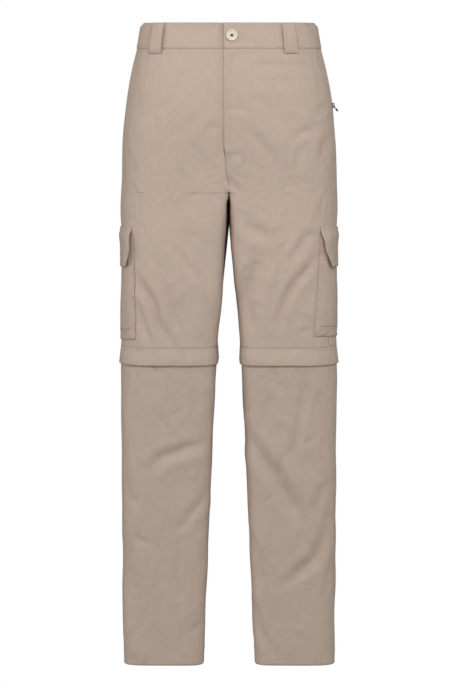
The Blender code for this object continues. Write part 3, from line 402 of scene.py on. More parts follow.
def undulation(points):
    """Broad shallow waves of worn cloth, from just below the waistband down."""
    x, y, z = points[..., 0], points[..., 1], points[..., 2]
    waves = np.sin(31 * x + 17 * z + 1.3) * np.sin(23 * z - 9 * y + 0.4)
    waves += 0.6 * np.sin(58 * z + 21 * x + 26 * y) * np.sin(37 * x - 12 * z + 2.1)
    return WAVE_HEIGHT * waves * ease(-z, WAVES_START, WAVES_FULL)


THIGH_WAVE, THIGH_WAVES, THIGH_WAVE_SETS_IN = 0.0008, 35, 0.008


def thigh_meeting(points):
    """Where the two thighs press together, in x: a shallow wave from front to back."""
    y, z = points[..., 1], points[..., 2]
    return THIGH_WAVE * np.sin(THIGH_WAVES * y) * ease(-z, -CROTCH, -CROTCH + THIGH_WAVE_SETS_IN)


def loose(points):
    """1 where the cloth is free to crease, and 0 where the two thighs press together under the fork."""
    x, z = np.abs(points[..., 0]), points[..., 2]
    return 1 - (1 - ease(x, 0.003, 0.020)) * ease(-z, -CROTCH - 0.006, -CROTCH + 0.004)


def own_side(side, points, angle, height):
    """Moves points to a leg's own side of the middle, but for those that lap past it above the crotch."""
    past, _ = beyond(angle, height)
    meeting = thigh_meeting(points)
    kept = meeting + side * np.maximum(side * (points[..., 0] - meeting), HALF_GAP)
    points[..., 0] = np.where(past, points[..., 0], kept)
    return points


def skin(side, angle, height):
    """Points of the panels' outer face, with its creases, kept to each leg's own side of the middle."""
    points = outline(side, angle, height)
    facing = np.cos(angle)
    depth = crease_depth(points, facing, front_creases) + crease_depth(points, -facing, back_creases)
    depth = (depth - undulation(points)) * loose(points)
    points = points - outward(side, outline, angle, height) * depth[..., None]
    return own_side(side, points, angle, height)


def stacked(*stops):
    """Heights from the first stop down: each later stop gives a height, a number of steps and,
    where it has one, a power above 1 that crowds the steps towards it."""
    heights = [stops[0]]
    for target, steps, *power in stops[1:]:
        top = heights[-1]
        shares = 1 - (1 - np.arange(1, steps + 1) / steps) ** (power[0] if power else 1)
        heights += list(top + (target - top) * shares)
    return np.array(heights)


def between(start, end, columns):
    """Angles in steps from one edge to another, where the edges are functions of the height."""

    def angles(heights):
        first, last = start(heights)[:, None], end(heights)[:, None]
        return first + (last - first) * np.linspace(0, 1, columns + 1)

    return angles


def level(angle):
    return lambda heights: angle * np.ones_like(heights)


def flat(distance):
    return lambda points, angle, height: distance * np.ones_like(height)


def border(rows, columns, ring):
    """The indices of a grid's border points, as closed loops that run with the cloth on one side."""
    grid = np.arange(rows * columns).reshape(rows, columns)
    if ring:
        return [grid[0], grid[-1][::-1]], [grid[1], grid[-2][::-1]]
    loop = [grid[0, :-1], grid[:-1, -1], grid[-1, :0:-1], grid[:0:-1, 0]]
    inner_row = np.clip(np.arange(rows), 1, rows - 2)[:, None]
    inner = inner_row * columns + np.clip(np.arange(columns), 1, columns - 2)
    inside = [inner[0, :-1], inner[:-1, -1], inner[-1, :0:-1], inner[:0:-1, 0]]
    return [np.concatenate(loop)], [np.concatenate(inside)]


# How far a turned edge swells beyond the cloth, as a share of its wall
EDGE_SWELL = 0.12


def measured(outer, from_end):
    """Distances in metres across and along a grid of cloth, as it would lie flat. Those across are
    counted from its first column, or from its last one where from_end is true."""
    across = np.linalg.norm(np.diff(outer, axis=1), axis=2).cumsum(axis=1)
    across = np.concatenate([np.zeros((len(outer), 1)), across], axis=1)
    across -= across[:, -1:] if from_end else 0
    down = np.linalg.norm(np.diff(outer, axis=0), axis=2).mean(axis=1).cumsum()
    down = np.concatenate([[0], down])[:, None] * np.ones(outer.shape[1])
    return across, down


def cloth_mesh(name, outer, inner, ring=False, from_end=False):
    """A mesh between two grids of points, with turned edges that swell a little, as sewn edges do. Its
    UV map is in metres, and the attribute to_edge is each point's distance from the nearest edge."""
    rows, columns = outer.shape[:2]
    count = rows * columns
    grid = np.arange(count).reshape(rows, columns)
    right = np.roll(grid, -1, axis=1) if ring else grid[:, 1:]
    left = grid if ring else grid[:, :-1]
    quads = np.stack([left[:-1], right[:-1], right[1:], left[1:]], axis=-1).reshape(-1, 4)
    points = [outer.reshape(-1, 3), inner.reshape(-1, 3)]
    faces = [quads, quads[:, ::-1] + count]
    across, down = measured(outer, from_end)
    flat_place = np.stack([across, down], axis=-1).reshape(-1, 2)
    places = [flat_place, flat_place]
    base = 2 * count
    for loop, inside in zip(*border(rows, columns, ring)):
        middle = (points[0][loop] + points[1][loop]) / 2
        thick = np.linalg.norm(points[0][loop] - points[1][loop], axis=1, keepdims=True)
        out = points[0][loop] - points[0][inside]
        out /= np.maximum(np.linalg.norm(out, axis=1, keepdims=True), 1e-9)
        points.append(middle + out * thick * EDGE_SWELL)
        places.append(flat_place[loop])
        rim = base + np.arange(len(loop))
        following, next_rim = np.roll(loop, -1), np.roll(rim, -1)
        faces.append(np.stack([following, loop, rim, next_rim], axis=-1))
        faces.append(np.stack([next_rim, rim, loop + count, following + count], axis=-1))
        base += len(loop)
    points, faces, places = np.concatenate(points), np.concatenate(faces), np.concatenate(places)
    mesh = bpy.data.meshes.new(name)
    mesh.from_pydata(points.tolist(), [], faces.tolist())
    layer = mesh.uv_layers.new(name="flat_cloth")
    corners = np.empty(len(mesh.loops), int)
    mesh.loops.foreach_get("vertex_index", corners)
    layer.uv.foreach_set("vector", places[corners].ravel())
    near = np.minimum(np.abs(across - across[:, :1]), np.abs(across[:, -1:] - across))
    near = np.full_like(near, 1.0) if ring else near
    ends = np.minimum(down, down[-1:] - down)
    to_edge = np.minimum(near, ends).ravel()
    to_edge = np.concatenate([to_edge, to_edge, np.zeros(len(points) - 2 * count)])
    mesh.attributes.new("to_edge", "FLOAT", "POINT").data.foreach_set("value", to_edge)
    mesh.shade_smooth()
    return mesh


def flat_size(outer):
    """The width, length and area in metres of the cut that a grid of points was sewn from."""
    across = np.linalg.norm(np.diff(outer, axis=1), axis=2)
    down = np.linalg.norm(np.diff(outer, axis=0), axis=2)
    width, length = across.sum(axis=1).max(), down.sum(axis=0).max()
    sides, drops = outer[:-1, 1:] - outer[:-1, :-1], outer[1:, :-1] - outer[:-1, :-1]
    area = np.linalg.norm(np.cross(sides, drops), axis=-1).sum()
    return (float(width), float(length)), float(min(area, width * length))


def laid_on(side, angle, height, face, surface=skin):
    """Points standing off the skin and the normals there."""
    points = surface(side, angle, height)
    normals = outward(side, surface, angle, height)
    return points + normals * np.asarray(face(points, angle, height))[..., None], normals


def sewn(
    name, side, heights, angles, face, thickness, finish,
    ring=False, lean=None, lines=(), pieces=(),
):
    """A cloth piece on the skin, in place of the CAD node of the same name, with lines of stitches, which
    are pairs of angles and heights."""
    angle = angles(heights)
    height = np.repeat(heights[:, None], angle.shape[1], axis=1)
    if lean:
        height = height + lean(angle)
    outer, normals = laid_on(side, angle, height, face)
    depth = np.broadcast_to(thickness, height.shape)[..., None]
    inner = own_side(side, outer - normals * depth, angle, height)
    sewing_lines = [laid_on(side, *np.broadcast_arrays(*line), face) for line in lines]
    return cloth_piece(name, side, outer, inner, finish, ring, sewing_lines, pieces)


def cloth_piece(name, side, outer, inner, finish, ring=False, lines=(), pieces=()):
    """Cloth between two grids of points, which rides on the garment in place of the CAD node of the same
    name, with its stitches and the small pieces that are sewn to it."""
    measure = np.concatenate([outer, outer[:, :1]], axis=1) if ring else outer
    if side < 0:
        outer, inner = outer[:, ::-1], inner[:, ::-1]
    piece = bpy.data.objects.new(f"{name}_cloth", cloth_mesh(name, outer, inner, ring, side < 0))
    bpy.context.scene.collection.objects.link(piece)
    piece.data.materials.append(finish)
    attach(piece, garment)
    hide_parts(name)
    size, area = flat_size(measure)
    threads = list(pieces) + ([sewing(piece, lines)] if lines else [])
    return piece


class Wire:
    """A socket in a material's nodes. Sums and products of wires add Math nodes."""

    def __init__(self, tree, socket=None):
        self.tree, self.socket = tree, socket

    def node(self, kind, settings=(), inputs=(), output=0):
        made = self.tree.nodes.new(kind)
        for name, value in dict(settings).items():
            setattr(made, name, value)
        for name, value in dict(inputs).items():
            if isinstance(value, Wire):
                self.tree.links.new(value.socket, made.inputs[name])
            else:
                made.inputs[name].default_value = value
        return Wire(self.tree, made.outputs[output])

    def math(self, operation, *values):
        return self.node("ShaderNodeMath", {"operation": operation}, dict(enumerate(values)))

    def mixed(self, low, high):
        """One colour where this wire is 0 and the other where it is 1."""
        return self.node("ShaderNodeMix", {"data_type": "RGBA"}, {0: self, 6: low, 7: high}, output=2)

    def __add__(self, other):
        return self.math("ADD", self, other)

    def __mul__(self, other):
        return self.math("MULTIPLY", self, other)

    def __sub__(self, other):
        return self.math("SUBTRACT", self, other)

    def __rsub__(self, other):
        return self.math("SUBTRACT", other, self)

    __radd__, __rmul__ = __add__, __mul__


def new_material(name, **sockets):
    """A material with these values on its shader's own sockets, and a wire to build the rest from."""
    made = bpy.data.materials.new(name)
    made.use_nodes = True
    shader = made.node_tree.nodes["Principled BSDF"]
    for socket, value in sockets.items():
        shader.inputs[socket.replace("_", " ")].default_value = value
    return made, Wire(made.node_tree), shader


def feed(wires, shader, **sockets):
    for name, wire in sockets.items():
        wires.tree.links.new(wire.socket, shader.inputs[name.replace("_", " ")])


THREAD_PITCH = 0.00055
# How far from an edge the cloth puckers and is painted darker as shade, and how far its worn, lighter rim
# reaches
SEAM_PUCKER_AND_SHADE_REACH, WORN_REACH = 0.011, 0.0012


def khaki_cloth(light, shade):
    """Plain-woven cloth of uneven threads. Wear leaves fine upright crinkles in it, and sewing small
    puckers along its edges. Its colour carries painted shade, darker along its edges and seams and in the
    crinkles' hollows."""
    made, wires, shader = new_material(
        "khaki_cloth", Roughness=0.88, Sheen_Weight=0.08, Sheen_Roughness=0.5, Specular_IOR_Level=0.2
    )
    place = wires.node("ShaderNodeUVMap", {"uv_map": "flat_cloth"})
    u = wires.node("ShaderNodeSeparateXYZ", (), {0: place})
    v = Wire(wires.tree, u.socket.node.outputs[1])

    def noise(across, along, detail, distortion=0.0):
        at = wires.node("ShaderNodeCombineXYZ", (), {0: u * across, 1: v * along})
        inputs = {"Vector": at, "Scale": 1.0, "Detail": detail, "Distortion": distortion}
        return wires.node("ShaderNodeTexNoise", (), inputs)

    def bumped(height, distance, strength, under=None):
        inputs = {"Height": height, "Strength": strength, "Distance": distance}
        return wires.node("ShaderNodeBump", (), inputs | ({"Normal": under} if under else {}))

    turns = math.tau / THREAD_PITCH
    warp = (u * turns).math("SINE", u * turns)
    weft = (v * turns).math("SINE", v * turns)
    slub_warp, slub_weft = noise(1500, 90, 2.0), noise(90, 1500, 2.0)
    mottle = noise(55, 55, 3.0)
    limp = noise(24, 15, 2.0, 0.8)
    crinkle = noise(150, 13, 2.5, 0.5)
    edge = wires.node("ShaderNodeAttribute", {"attribute_name": "to_edge"}, output=2)
    near_edge = edge * (1 / SEAM_PUCKER_AND_SHADE_REACH)
    seam_pucker_and_shade = 1.0 - edge.math("MINIMUM", near_edge, 1.0)
    pucker = noise(210, 210, 1.0) * seam_pucker_and_shade
    worn = edge.math("LESS_THAN", edge, WORN_REACH) * 0.10
    # The crinkle noise that raises the crinkles also lightens their ridges and darkens their hollows:
    # painted shade. The slubs, mottle and weave are the cloth's own uneven tone.
    tone = slub_warp * 0.40 + slub_weft * 0.40 + mottle * 0.45 + crinkle * 0.30 + warp * weft * 0.10
    # Painted shade: the colour darkens towards the cloth's edges and seams, over the puckers' reach. The
    # thin lighter rim is wear.
    tone = tone + worn - seam_pucker_and_shade * 0.12 - 0.33
    tone = tone.node("ShaderNodeClamp", (), {0: tone})
    weave = warp * weft * 0.5 + slub_warp * 0.6 + slub_weft * 0.6
    slack = bumped(limp, 0.010, 0.6)
    creased = bumped(crinkle, 0.0016, 0.5, slack)
    drawn = bumped(pucker, 0.0016, 0.7, creased)
    feed(wires, shader, Base_Color=tone.mixed(shade, light), Normal=bumped(weave, 0.00022, 0.5, drawn))
    return made


khaki = khaki_cloth(light=(0.585, 0.466, 0.380, 1), shade=(0.500, 0.392, 0.314, 1))


def mottled(name, light, shade, scale, depth, **sockets):
    """A moulded, cast or spun finish: two shades mottled together on a slightly uneven surface."""
    made, wires, shader = new_material(name, **sockets)
    place = wires.node("ShaderNodeTexCoord", output=3)
    mottle = wires.node("ShaderNodeTexNoise", (), {"Vector": place, "Scale": scale, "Detail": 4.0})
    uneven = wires.node("ShaderNodeBump", (), {"Height": mottle, "Strength": 0.5, "Distance": depth})
    feed(wires, shader, Base_Color=mottle.mixed(shade, light), Normal=uneven)
    return made


khaki_thread = mottled(
    "khaki_thread", (0.66, 0.55, 0.46, 1), (0.42, 0.33, 0.26, 1), 2500, 0.0001, Roughness=0.7
)
THREAD_RADIUS = 0.0003
STITCH_PITCH, STITCH_LENGTH = 0.0036, 0.0027
# A stitch's arch: shares of its length, and heights over the cloth in radii of the thread
STITCH_ARCH = ((0, -1.2), (0.22, 0.3), (0.78, 0.3), (1, -1.2))
# A direction that no tube runs along, which the tubes' rings are turned by
RING_GUIDE = (0.30, 0.25, 0.92)


def tubes(name, paths, radius, finish, sides=6):
    """Closed round tubes along paths, an array of (path, point, xyz), as one mesh."""
    paths = np.asarray(paths, float)
    ahead = np.gradient(paths, axis=1)
    ahead /= np.linalg.norm(ahead, axis=2, keepdims=True)
    across = np.cross(ahead, RING_GUIDE)
    across /= np.linalg.norm(across, axis=2, keepdims=True)
    up = np.cross(ahead, across)
    turn = math.tau * np.arange(sides) / sides
    ring = np.cos(turn)[:, None] * across[:, :, None] + np.sin(turn)[:, None] * up[:, :, None]
    verts = paths[:, :, None] + radius * ring
    count, steps = paths.shape[:2]
    index = np.arange(count * steps * sides).reshape(count, steps, sides)
    here, there = index[:, :-1], index[:, 1:]
    quads = np.stack([here, np.roll(here, -1, 2), np.roll(there, -1, 2), there], axis=-1).reshape(-1, 4)
    ends = index[:, 0, ::-1].tolist() + index[:, -1].tolist()
    mesh = bpy.data.meshes.new(name)
    mesh.from_pydata(verts.reshape(-1, 3).tolist(), [], quads.tolist() + ends)
    mesh.materials.append(finish)
    mesh.shade_smooth()
    made = bpy.data.objects.new(name, mesh)
    bpy.context.scene.collection.objects.link(made)
    return made


def stitches(points, normals, pitch=STITCH_PITCH, length=STITCH_LENGTH):
    """The paths of single stitches along a line on the cloth: each comes out of it and goes back in."""
    reach = np.concatenate([[0], np.cumsum(np.linalg.norm(np.diff(points, axis=0), axis=1))])
    starts = np.arange(pitch / 2, reach[-1] - length, pitch)
    steps = []
    for share, rise in STITCH_ARCH:
        at = starts + share * length
        place = np.stack([np.interp(at, reach, points[:, k]) for k in range(3)], axis=-1)
        out = np.stack([np.interp(at, reach, normals[:, k]) for k in range(3)], axis=-1)
        steps.append(place + out * rise * THREAD_RADIUS)
    return np.stack(steps, axis=1)


def ridden(piece):
    """The trims too are carried by the garment."""
    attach(piece, garment)
    return piece


def sewing(piece, lines):
    """The stitches along lines of points and normals, which go with the cloth that they are sewn to."""
    paths = np.concatenate([stitches(*line) for line in lines])
    return ridden(tubes(f"{piece.name}_stitches", paths, THREAD_RADIUS, khaki_thread))


LAP_EDGE = (
    (CROTCH, 0.0),
    (-0.238, 0.0),
    (-0.220, -0.0035),
    (FLY_END, -0.0080),
    (WAIST_TOP, -0.0085),
)
FLY_UNDERLAP, FLY_CLOSES, FLY_FADES = 0.008, 0.010, 0.024
LAP_RISE, LAP_SINK, LAP_REACH = 0.0018, 0.0013, 0.040
SINK_START, SINK_FULL = 0.012, 0.002
ZIP_POCKET_TOP, ZIP_POCKET_BOTTOM, ZIP_POCKET_OPENING = -0.033, -0.120, 0.005
PANEL_TOP = WAIST_SEAM - SEAM_GAP
UPPER_BOTTOM = ZIP_LINE + 0.005
CROTCH_STEP = 0.0015
BAND_WALL, BAND_STEP = 0.0012, 0.0020
UNDER_BAND = BAND_WALL + LAYER_GAP


def lap_edge(height):
    levels, places = zip(*LAP_EDGE)
    return np.interp(height, levels, places)


def front_angle(side, x, height):
    """The angle, seen from one side's leg, of the place at x on the front."""
    own = angle_at(np.maximum(side * x, 0), height)
    other = 2 * angle_at(0.0, height) - angle_at(np.maximum(-side * x, 0), height)
    return np.where(side * x >= 0, own, other)


def lap_step(side, points, height):
    """The left front rises to its edge over the right front, which sinks under it."""
    from_edge = points[..., 0] - lap_edge(height)
    fly = ease(height, FLY_END - FLY_FADES, FLY_END - FLY_CLOSES)
    if side > 0:
        return LAP_RISE * (1 - ease(from_edge, 0, LAP_REACH)) * fly
    return -LAP_SINK * ease(from_edge, -SINK_START, -SINK_FULL) * fly


def under_band(height):
    """The thigh panels step in above the knee zip, so that the band over it starts level with them."""
    return -UNDER_BAND * np.clip((BAND_TOP + BAND_STEP - height) / BAND_STEP, 0, 1)


def side_seam(height):
    return np.radians(column("seam", height))


def side_gap(side, height):
    """Half the gap at the side seam, as an angle: the left seam parts over the zipped pocket."""
    share = (height - ZIP_POCKET_BOTTOM) / (ZIP_POCKET_TOP - ZIP_POCKET_BOTTOM)
    parted = np.sin(math.pi * np.clip(share, 0, 1)) ** 0.4 if side > 0 else 0
    gap = HALF_GAP + (ZIP_POCKET_OPENING / 2 - HALF_GAP) * parted
    return gap / half_width(height)


def inseam(height):
    return -math.pi / 2 + HALF_GAP / half_width(height)


def back_inseam(height):
    return 3 * math.pi / 2 - HALF_GAP / half_width(height)


def front_edge(side):
    """The front panel's inner edge: the lap or the seam at the middle, then the inseam."""

    def angle(height):
        under = (FLY_UNDERLAP + SEAM_GAP) * ease(height, FLY_END - FLY_CLOSES, FLY_END)
        x = lap_edge(height) + (SEAM_GAP if side > 0 else under - SEAM_GAP)
        return np.where(height > CROTCH, front_angle(side, x, height), inseam(height))

    return angle


def back_edge(height):
    """The back panel's inner edge: the seat seam, then the inseam."""
    return np.where(height > CROTCH, angle_at(HALF_GAP, height, "back"), back_inseam(height))


TURN_SHARE, TURN_SQUEEZE, TURN_ABOVE, TURN_BELOW = 0.72, 0.985, 0.05, 0.09
JUST_ABOVE = 1e-5


def turning(start, end, columns):
    """Angles of a panel that turns the leg's inner corner below the crotch. The last columns, squeezed
    against its middle edge at the crotch, spread along the inner thigh, and the others stay in place."""

    def angles(heights):
        first, last = start(heights)[:, None], end(heights)[:, None]
        above = (heights > CROTCH)[:, None]
        meet = np.where(above, last, end(np.array([CROTCH + JUST_ABOVE])))
        near = np.where(heights > CROTCH, heights - CROTCH, (CROTCH - heights) * TURN_ABOVE / TURN_BELOW)
        even, tight = first + (last - first) * TURN_SHARE, first + (meet - first) * TURN_SQUEEZE
        corner = even + (tight - even) * (1 - ease(near, 0, TURN_ABOVE))[:, None]
        share = np.linspace(0, 1, columns + 1)
        before = np.minimum(share / TURN_SHARE, 1)
        after = np.maximum(share - TURN_SHARE, 0) / (1 - TURN_SHARE)
        return first + (corner - first) * before + (last - corner) * after

    return angles


upper_rows = stacked(
    PANEL_TOP,
    (FLY_END, 38),
    (FLY_END - FLY_CLOSES, 3),
    (CROTCH + CROTCH_STEP, 22, 1.5),
    (CROTCH, 1),
    (-0.290, 10),
    (BAND_TOP + BAND_STEP, 54),
    (BAND_TOP, 2),
    (UPPER_BOTTOM, 2),
)
FRONT_COLUMNS, BACK_COLUMNS = 84, 72

# The fly is sewn with two rows beside its edge and a curved one further in, tacked at its lower end
FLY_ROWS = (-0.0021, 0.0026)
FLY_ROW_TOP = PANEL_TOP - 0.001
FLY_CURVE = (
    (0.0356, FLY_ROW_TOP), (0.0356, -0.135), (0.0350, -0.146), (0.0290, -0.1505),
    (0.0194, -0.1545), (0.0089, -0.164), (0.0040, -0.171),
)
FORK_ROWS = ((-0.0008, 0.0012), (0.0044, 0.0030))
FLY_TACK, TACK_STEP, TACK_ROWS = -0.1765, 0.0008, 3
TACK_LEFT, TACK_RIGHT = 0.0012, -0.0078
FORK_END = -0.232
SEAM_ROW = 0.0022


def front_line(side, places):
    """Angles and heights along a line that is given by its points' distances from middle and heights."""
    x, height = np.array(places).T
    steps = np.linspace(0, 1, 60)
    along = np.concatenate([[0], np.cumsum(np.hypot(np.diff(x), np.diff(height)))])
    along /= along[-1]
    x, height = np.interp(steps, along, x), np.interp(steps, along, height)
    return front_angle(side, x, height), height


def seam_edge(side, way):
    """A panel's edge at the side seam: the front panel's where way is -1, and the back panel's at 1."""
    return lambda height: side_seam(height) + way * side_gap(side, height)


def front_face(side):
    return lambda points, angle, height: lap_step(side, points, height) + under_band(height)


def back_face(points, angle, height):
    return under_band(height)


fly_lines = [front_line(1, ((x, FLY_ROW_TOP), (x, FLY_TACK))) for x in FLY_ROWS]
fly_lines.append(front_line(1, FLY_CURVE))
for row in range(TACK_ROWS):
    tack_height = FLY_TACK - row * TACK_STEP
    fly_lines.append(front_line(1, ((TACK_RIGHT, tack_height), (TACK_LEFT, tack_height))))
fly_lines += [front_line(1, ((top, FLY_TACK), (low, FORK_END))) for top, low in FORK_ROWS]

for side, word in ((1, "left"), (-1, "right")):
    across_front = turning(seam_edge(side, -1), front_edge(side), FRONT_COLUMNS)
    across_back = turning(seam_edge(side, 1), back_edge, BACK_COLUMNS)
    beside_seam = seam_edge(side, -1)(upper_rows) - SEAM_ROW / half_width(upper_rows)
    lines = [(beside_seam, upper_rows)] + (fly_lines if side > 0 else [])
    face = front_face(side)
    sewn(f"front_{word}", side, upper_rows, across_front, face, PANEL_WALL, khaki, lines=lines)
    sewn(f"back_{word}", side, upper_rows, across_back, back_face, PANEL_WALL, khaki)


# The lower legs: a shin and a calf panel each, from just below the knee zip to the hem. They zip off.

LOWER_TOP = ZIP_LINE - 0.005
HEM_ROW = HEM + 0.020
SHIN_COLUMNS, CALF_COLUMNS = 60, 54


def behind_shin(height):
    return side_seam(height) + HALF_GAP / half_width(height) * 2


lower_rows = stacked(LOWER_TOP, (HEM, 128))
hem = np.array([HEM_ROW])
shin = between(side_seam, inseam, SHIN_COLUMNS)
calf = between(behind_shin, back_inseam, CALF_COLUMNS)
shin_lines = [(side_seam(lower_rows) - SEAM_ROW / half_width(lower_rows), lower_rows), (shin(hem)[0], hem)]
calf_lines = [(calf(hem)[0], hem)]
for side, word in ((1, "left"), (-1, "right")):
    sewn(f"shin_{word}", side, lower_rows, shin, flat(0), PANEL_WALL, khaki, lines=shin_lines)
    sewn(f"calf_{word}", side, lower_rows, calf, flat(0), PANEL_WALL, khaki, lines=calf_lines)


# The fly shield: a strip of the same cloth behind both fronts, sewn to the zip's right side.

SHIELD_LEFT, SHIELD_RIGHT, SHIELD_COLUMNS = 0.030, -0.026, 16
UNDER_PANEL = -(PANEL_WALL + LAYER_GAP)
shield_rows = stacked(PANEL_TOP, (FLY_END + 0.004, 24))
shield = between(
    lambda height: front_angle(1, SHIELD_LEFT, height),
    lambda height: front_angle(1, SHIELD_RIGHT, height),
    SHIELD_COLUMNS,
)
shield_face = flat(UNDER_PANEL - LAP_SINK)
sewn("fly_shield", 1, shield_rows, shield, shield_face, PANEL_WALL, khaki)


# The waistband: two doubled strips of the cloth that meet at the back seam and lap left over right at
# the front, with an edge stitch along both long edges.

WAIST_WALL, WAIST_STANDS = 0.0020, 0.0008
WAIST_UNDER = WAIST_STANDS - WAIST_WALL - LAYER_GAP
WAIST_EXTENSION = 0.035
WAIST_COLUMNS = 140
EDGE_ROW = 0.0018
ROLL_HEIGHT, ROLL_DEPTH = 0.011, 0.0045
# The end of the buttonhole shows beside the button, as bars of pale thread: their length and places
BUTTONHOLE_BAR, BUTTONHOLE_BARS = 0.0048, (0.0142, 0.0149, 0.0156, 0.0163)
BUTTONHOLE_STITCH = BUTTONHOLE_BAR - 0.0012
BUTTONHOLE_PITCH = 0.002
pale_thread = mottled(
    "pale_thread", (0.80, 0.73, 0.62, 1), (0.62, 0.54, 0.44, 1), 2500, 0.0001, Roughness=0.7
)


def waist_face(side, points, angle, height):
    """The left end lies over the right end at the front. Both long edges are a little thinner, and the
    top edge rolls in over the hips."""
    from_edge = points[..., 0] - lap_edge(height)
    if side > 0:
        step = LAP_RISE * (1 - ease(from_edge, 0, LAP_REACH))
    else:
        step = (WAIST_UNDER - WAIST_STANDS) * ease(from_edge, -0.012, -0.001)
    to_edge = np.minimum(WAIST_TOP - height, height - WAIST_SEAM)
    puckers = np.sin(900 * points[..., 0] + 260 * points[..., 1])
    ripple = 0.00025 * puckers * (1 - ease(to_edge, 0.003, 0.010))
    over_hips = ease(np.abs(np.sin(angle)), 0.80, 0.97)
    roll = ease(height, WAIST_TOP - ROLL_HEIGHT, WAIST_TOP) ** 2 * over_hips
    thin = 0.0004 * (1 - ease(to_edge, 0, 0.0035)) + ROLL_DEPTH * roll
    return WAIST_STANDS + step * (np.cos(angle) > 0) - thin + ripple


waist_rows = stacked(WAIST_TOP, (WAIST_TOP - ROLL_HEIGHT, 10), (WAIST_SEAM, 14))
for side, word in ((1, "left"), (-1, "right")):
    reach = HALF_GAP if side > 0 else WAIST_EXTENSION
    across = between(
        lambda height: angle_at(HALF_GAP, height, "back"),
        lambda height, side=side, reach=reach: front_angle(side, lap_edge(height) + reach, height),
        WAIST_COLUMNS,
    )
    face = lambda points, angle, height, side=side: waist_face(side, points, angle, height)
    edges = [np.array([WAIST_TOP - EDGE_ROW]), np.array([WAIST_SEAM + EDGE_ROW])]
    lines = [(across(edge)[0], edge) for edge in edges]
    pieces = []
    if side > 0:
        bar = np.linspace(-BUTTONHOLE_BAR / 2, BUTTONHOLE_BAR / 2, 12)
        bars = [laid_on(1, front_angle(1, x, bar), bar, face) for x in BUTTONHOLE_BARS]
        bars = [stitches(*line, pitch=BUTTONHOLE_PITCH, length=BUTTONHOLE_STITCH) for line in bars]
        paths = np.concatenate(bars)
        pieces.append(ridden(tubes("buttonhole_stitches", paths, THREAD_RADIUS, pale_thread)))
    sewn(
        f"waistband_{word}", side, waist_rows, across, face, WAIST_WALL, khaki,
        lines=lines, pieces=pieces,
    )


# The belt loops: five doubled straps, tacked at the waistband's top edge and 8 mm below its seam.

LOOP_WIDTH, LOOP_WALL, LOOP_ARCH, LOOP_COLUMNS = 0.0222, 0.0018, 0.0026, 12
LOOP_TACKS = (0.0012, 0.0024)
LOOP_TOP, LOOP_BOTTOM = WAIST_TOP - 0.0008, WAIST_SEAM - 0.0080
# Half the angle over which the band's length is measured at a loop
LOOP_PROBE = 0.05
# Each loop's leg, the distance from the middle plane and whether it is on the front or the back
BELT_LOOPS = {
    "belt_loop_front_left": (1, 0.0955, "front"),
    "belt_loop_front_right": (-1, 0.1135, "front"),
    "belt_loop_back_left": (1, 0.092, "back"),
    "belt_loop_back_right": (-1, 0.092, "back"),
    "belt_loop_centre_back": (1, 0.0, "back"),
}


def loop_face(points, angle, height):
    """The strap is tacked at both ends, over the band's lower edge, and arches off it between."""
    base = WAIST_STANDS * ease(height, LOOP_BOTTOM + 0.002, WAIST_SEAM - 0.001)
    share = (height - LOOP_BOTTOM) / (LOOP_TOP - LOOP_BOTTOM)
    arch = LOOP_ARCH * np.sin(math.pi * np.clip(share, 0, 1)) ** 0.7
    return base + arch + LAYER_GAP + LOOP_WALL


loop_rows = stacked(LOOP_TOP, (WAIST_SEAM, 22), (LOOP_BOTTOM, 6))
for name, (side, x, view) in BELT_LOOPS.items():
    middle = angle_at(x, 0.0, view)
    near = outline(side, np.array([middle - LOOP_PROBE, middle + LOOP_PROBE]), np.zeros(2))
    half = LOOP_WIDTH / 2 / np.linalg.norm(near[1] - near[0]) * 2 * LOOP_PROBE
    across = between(level(middle - half), level(middle + half), LOOP_COLUMNS)
    inset = half * (1 - 2 * EDGE_ROW / LOOP_WIDTH)
    lines = [(np.full_like(loop_rows, middle + k * inset), loop_rows) for k in (-1, 1)]
    tack = np.linspace(middle - inset, middle + inset, 8)
    lines += [(tack, np.array([LOOP_BOTTOM + above])) for above in LOOP_TACKS]
    sewn(name, side, loop_rows, across, loop_face, LOOP_WALL, khaki, lines=lines)


# The cargo pockets: a face that a folded gusset carries round three sides, under a flap. The right
# leg's sits further forward. A woven label, left blank, is sewn to the left pocket's face.

POCKET_TOP = -0.322
POCKET_STANDS = 0.0031
GUSSET_SIDE = math.radians(5.5)
GUSSET_DROP = 0.016
FLAP_TOP = -0.3050
FLAP_CORNER = -0.3430
FLAP_BOTTOM = -0.3700
FLAP_WALL = 0.0016
FLAP_LIFT = 0.0020
FLAP_OPEN = 0.0036
FACE_TUCK = 0.0007
FLAP_CUT = math.radians(10)
FLAP_BEYOND = math.radians(1)
POCKET_SPAN = math.radians(92)
POCKET_TILT = 0.0065
POCKET_COLUMNS, FLAP_COLUMNS = 36, 40
GUSSET_SAG = 0.0005

Pocket = namedtuple("Pocket", "bottom front_top front_bottom flap_top flap_corner flap_bottom")
# The height of each pocket's bottom seam, then distances from the middle plane: of its front edge at
# the top and the bottom, and of its flap's front edge at the top, the corner and the bottom
POCKETS = {
    "left": Pocket(-0.4840, 0.1470, 0.1376, 0.1464, 0.1500, 0.1590),
    "right": Pocket(-0.4895, 0.1540, 0.1506, 0.1572, 0.1540, 0.1600),
}


def pocket_front(word, height):
    pocket = POCKETS[word]
    share = np.clip((POCKET_TOP - height) / (POCKET_TOP - pocket.bottom), -0.1, 1)
    return angle_at(pocket.front_top + (pocket.front_bottom - pocket.front_top) * share, height)


def tilted(word):
    """A pocket's height falls a little from its front edge to the side of the leg and on behind it."""
    start = pocket_front(word, POCKET_TOP)
    return lambda angle: -POCKET_TILT * (angle - start) / (math.pi / 2 - start)


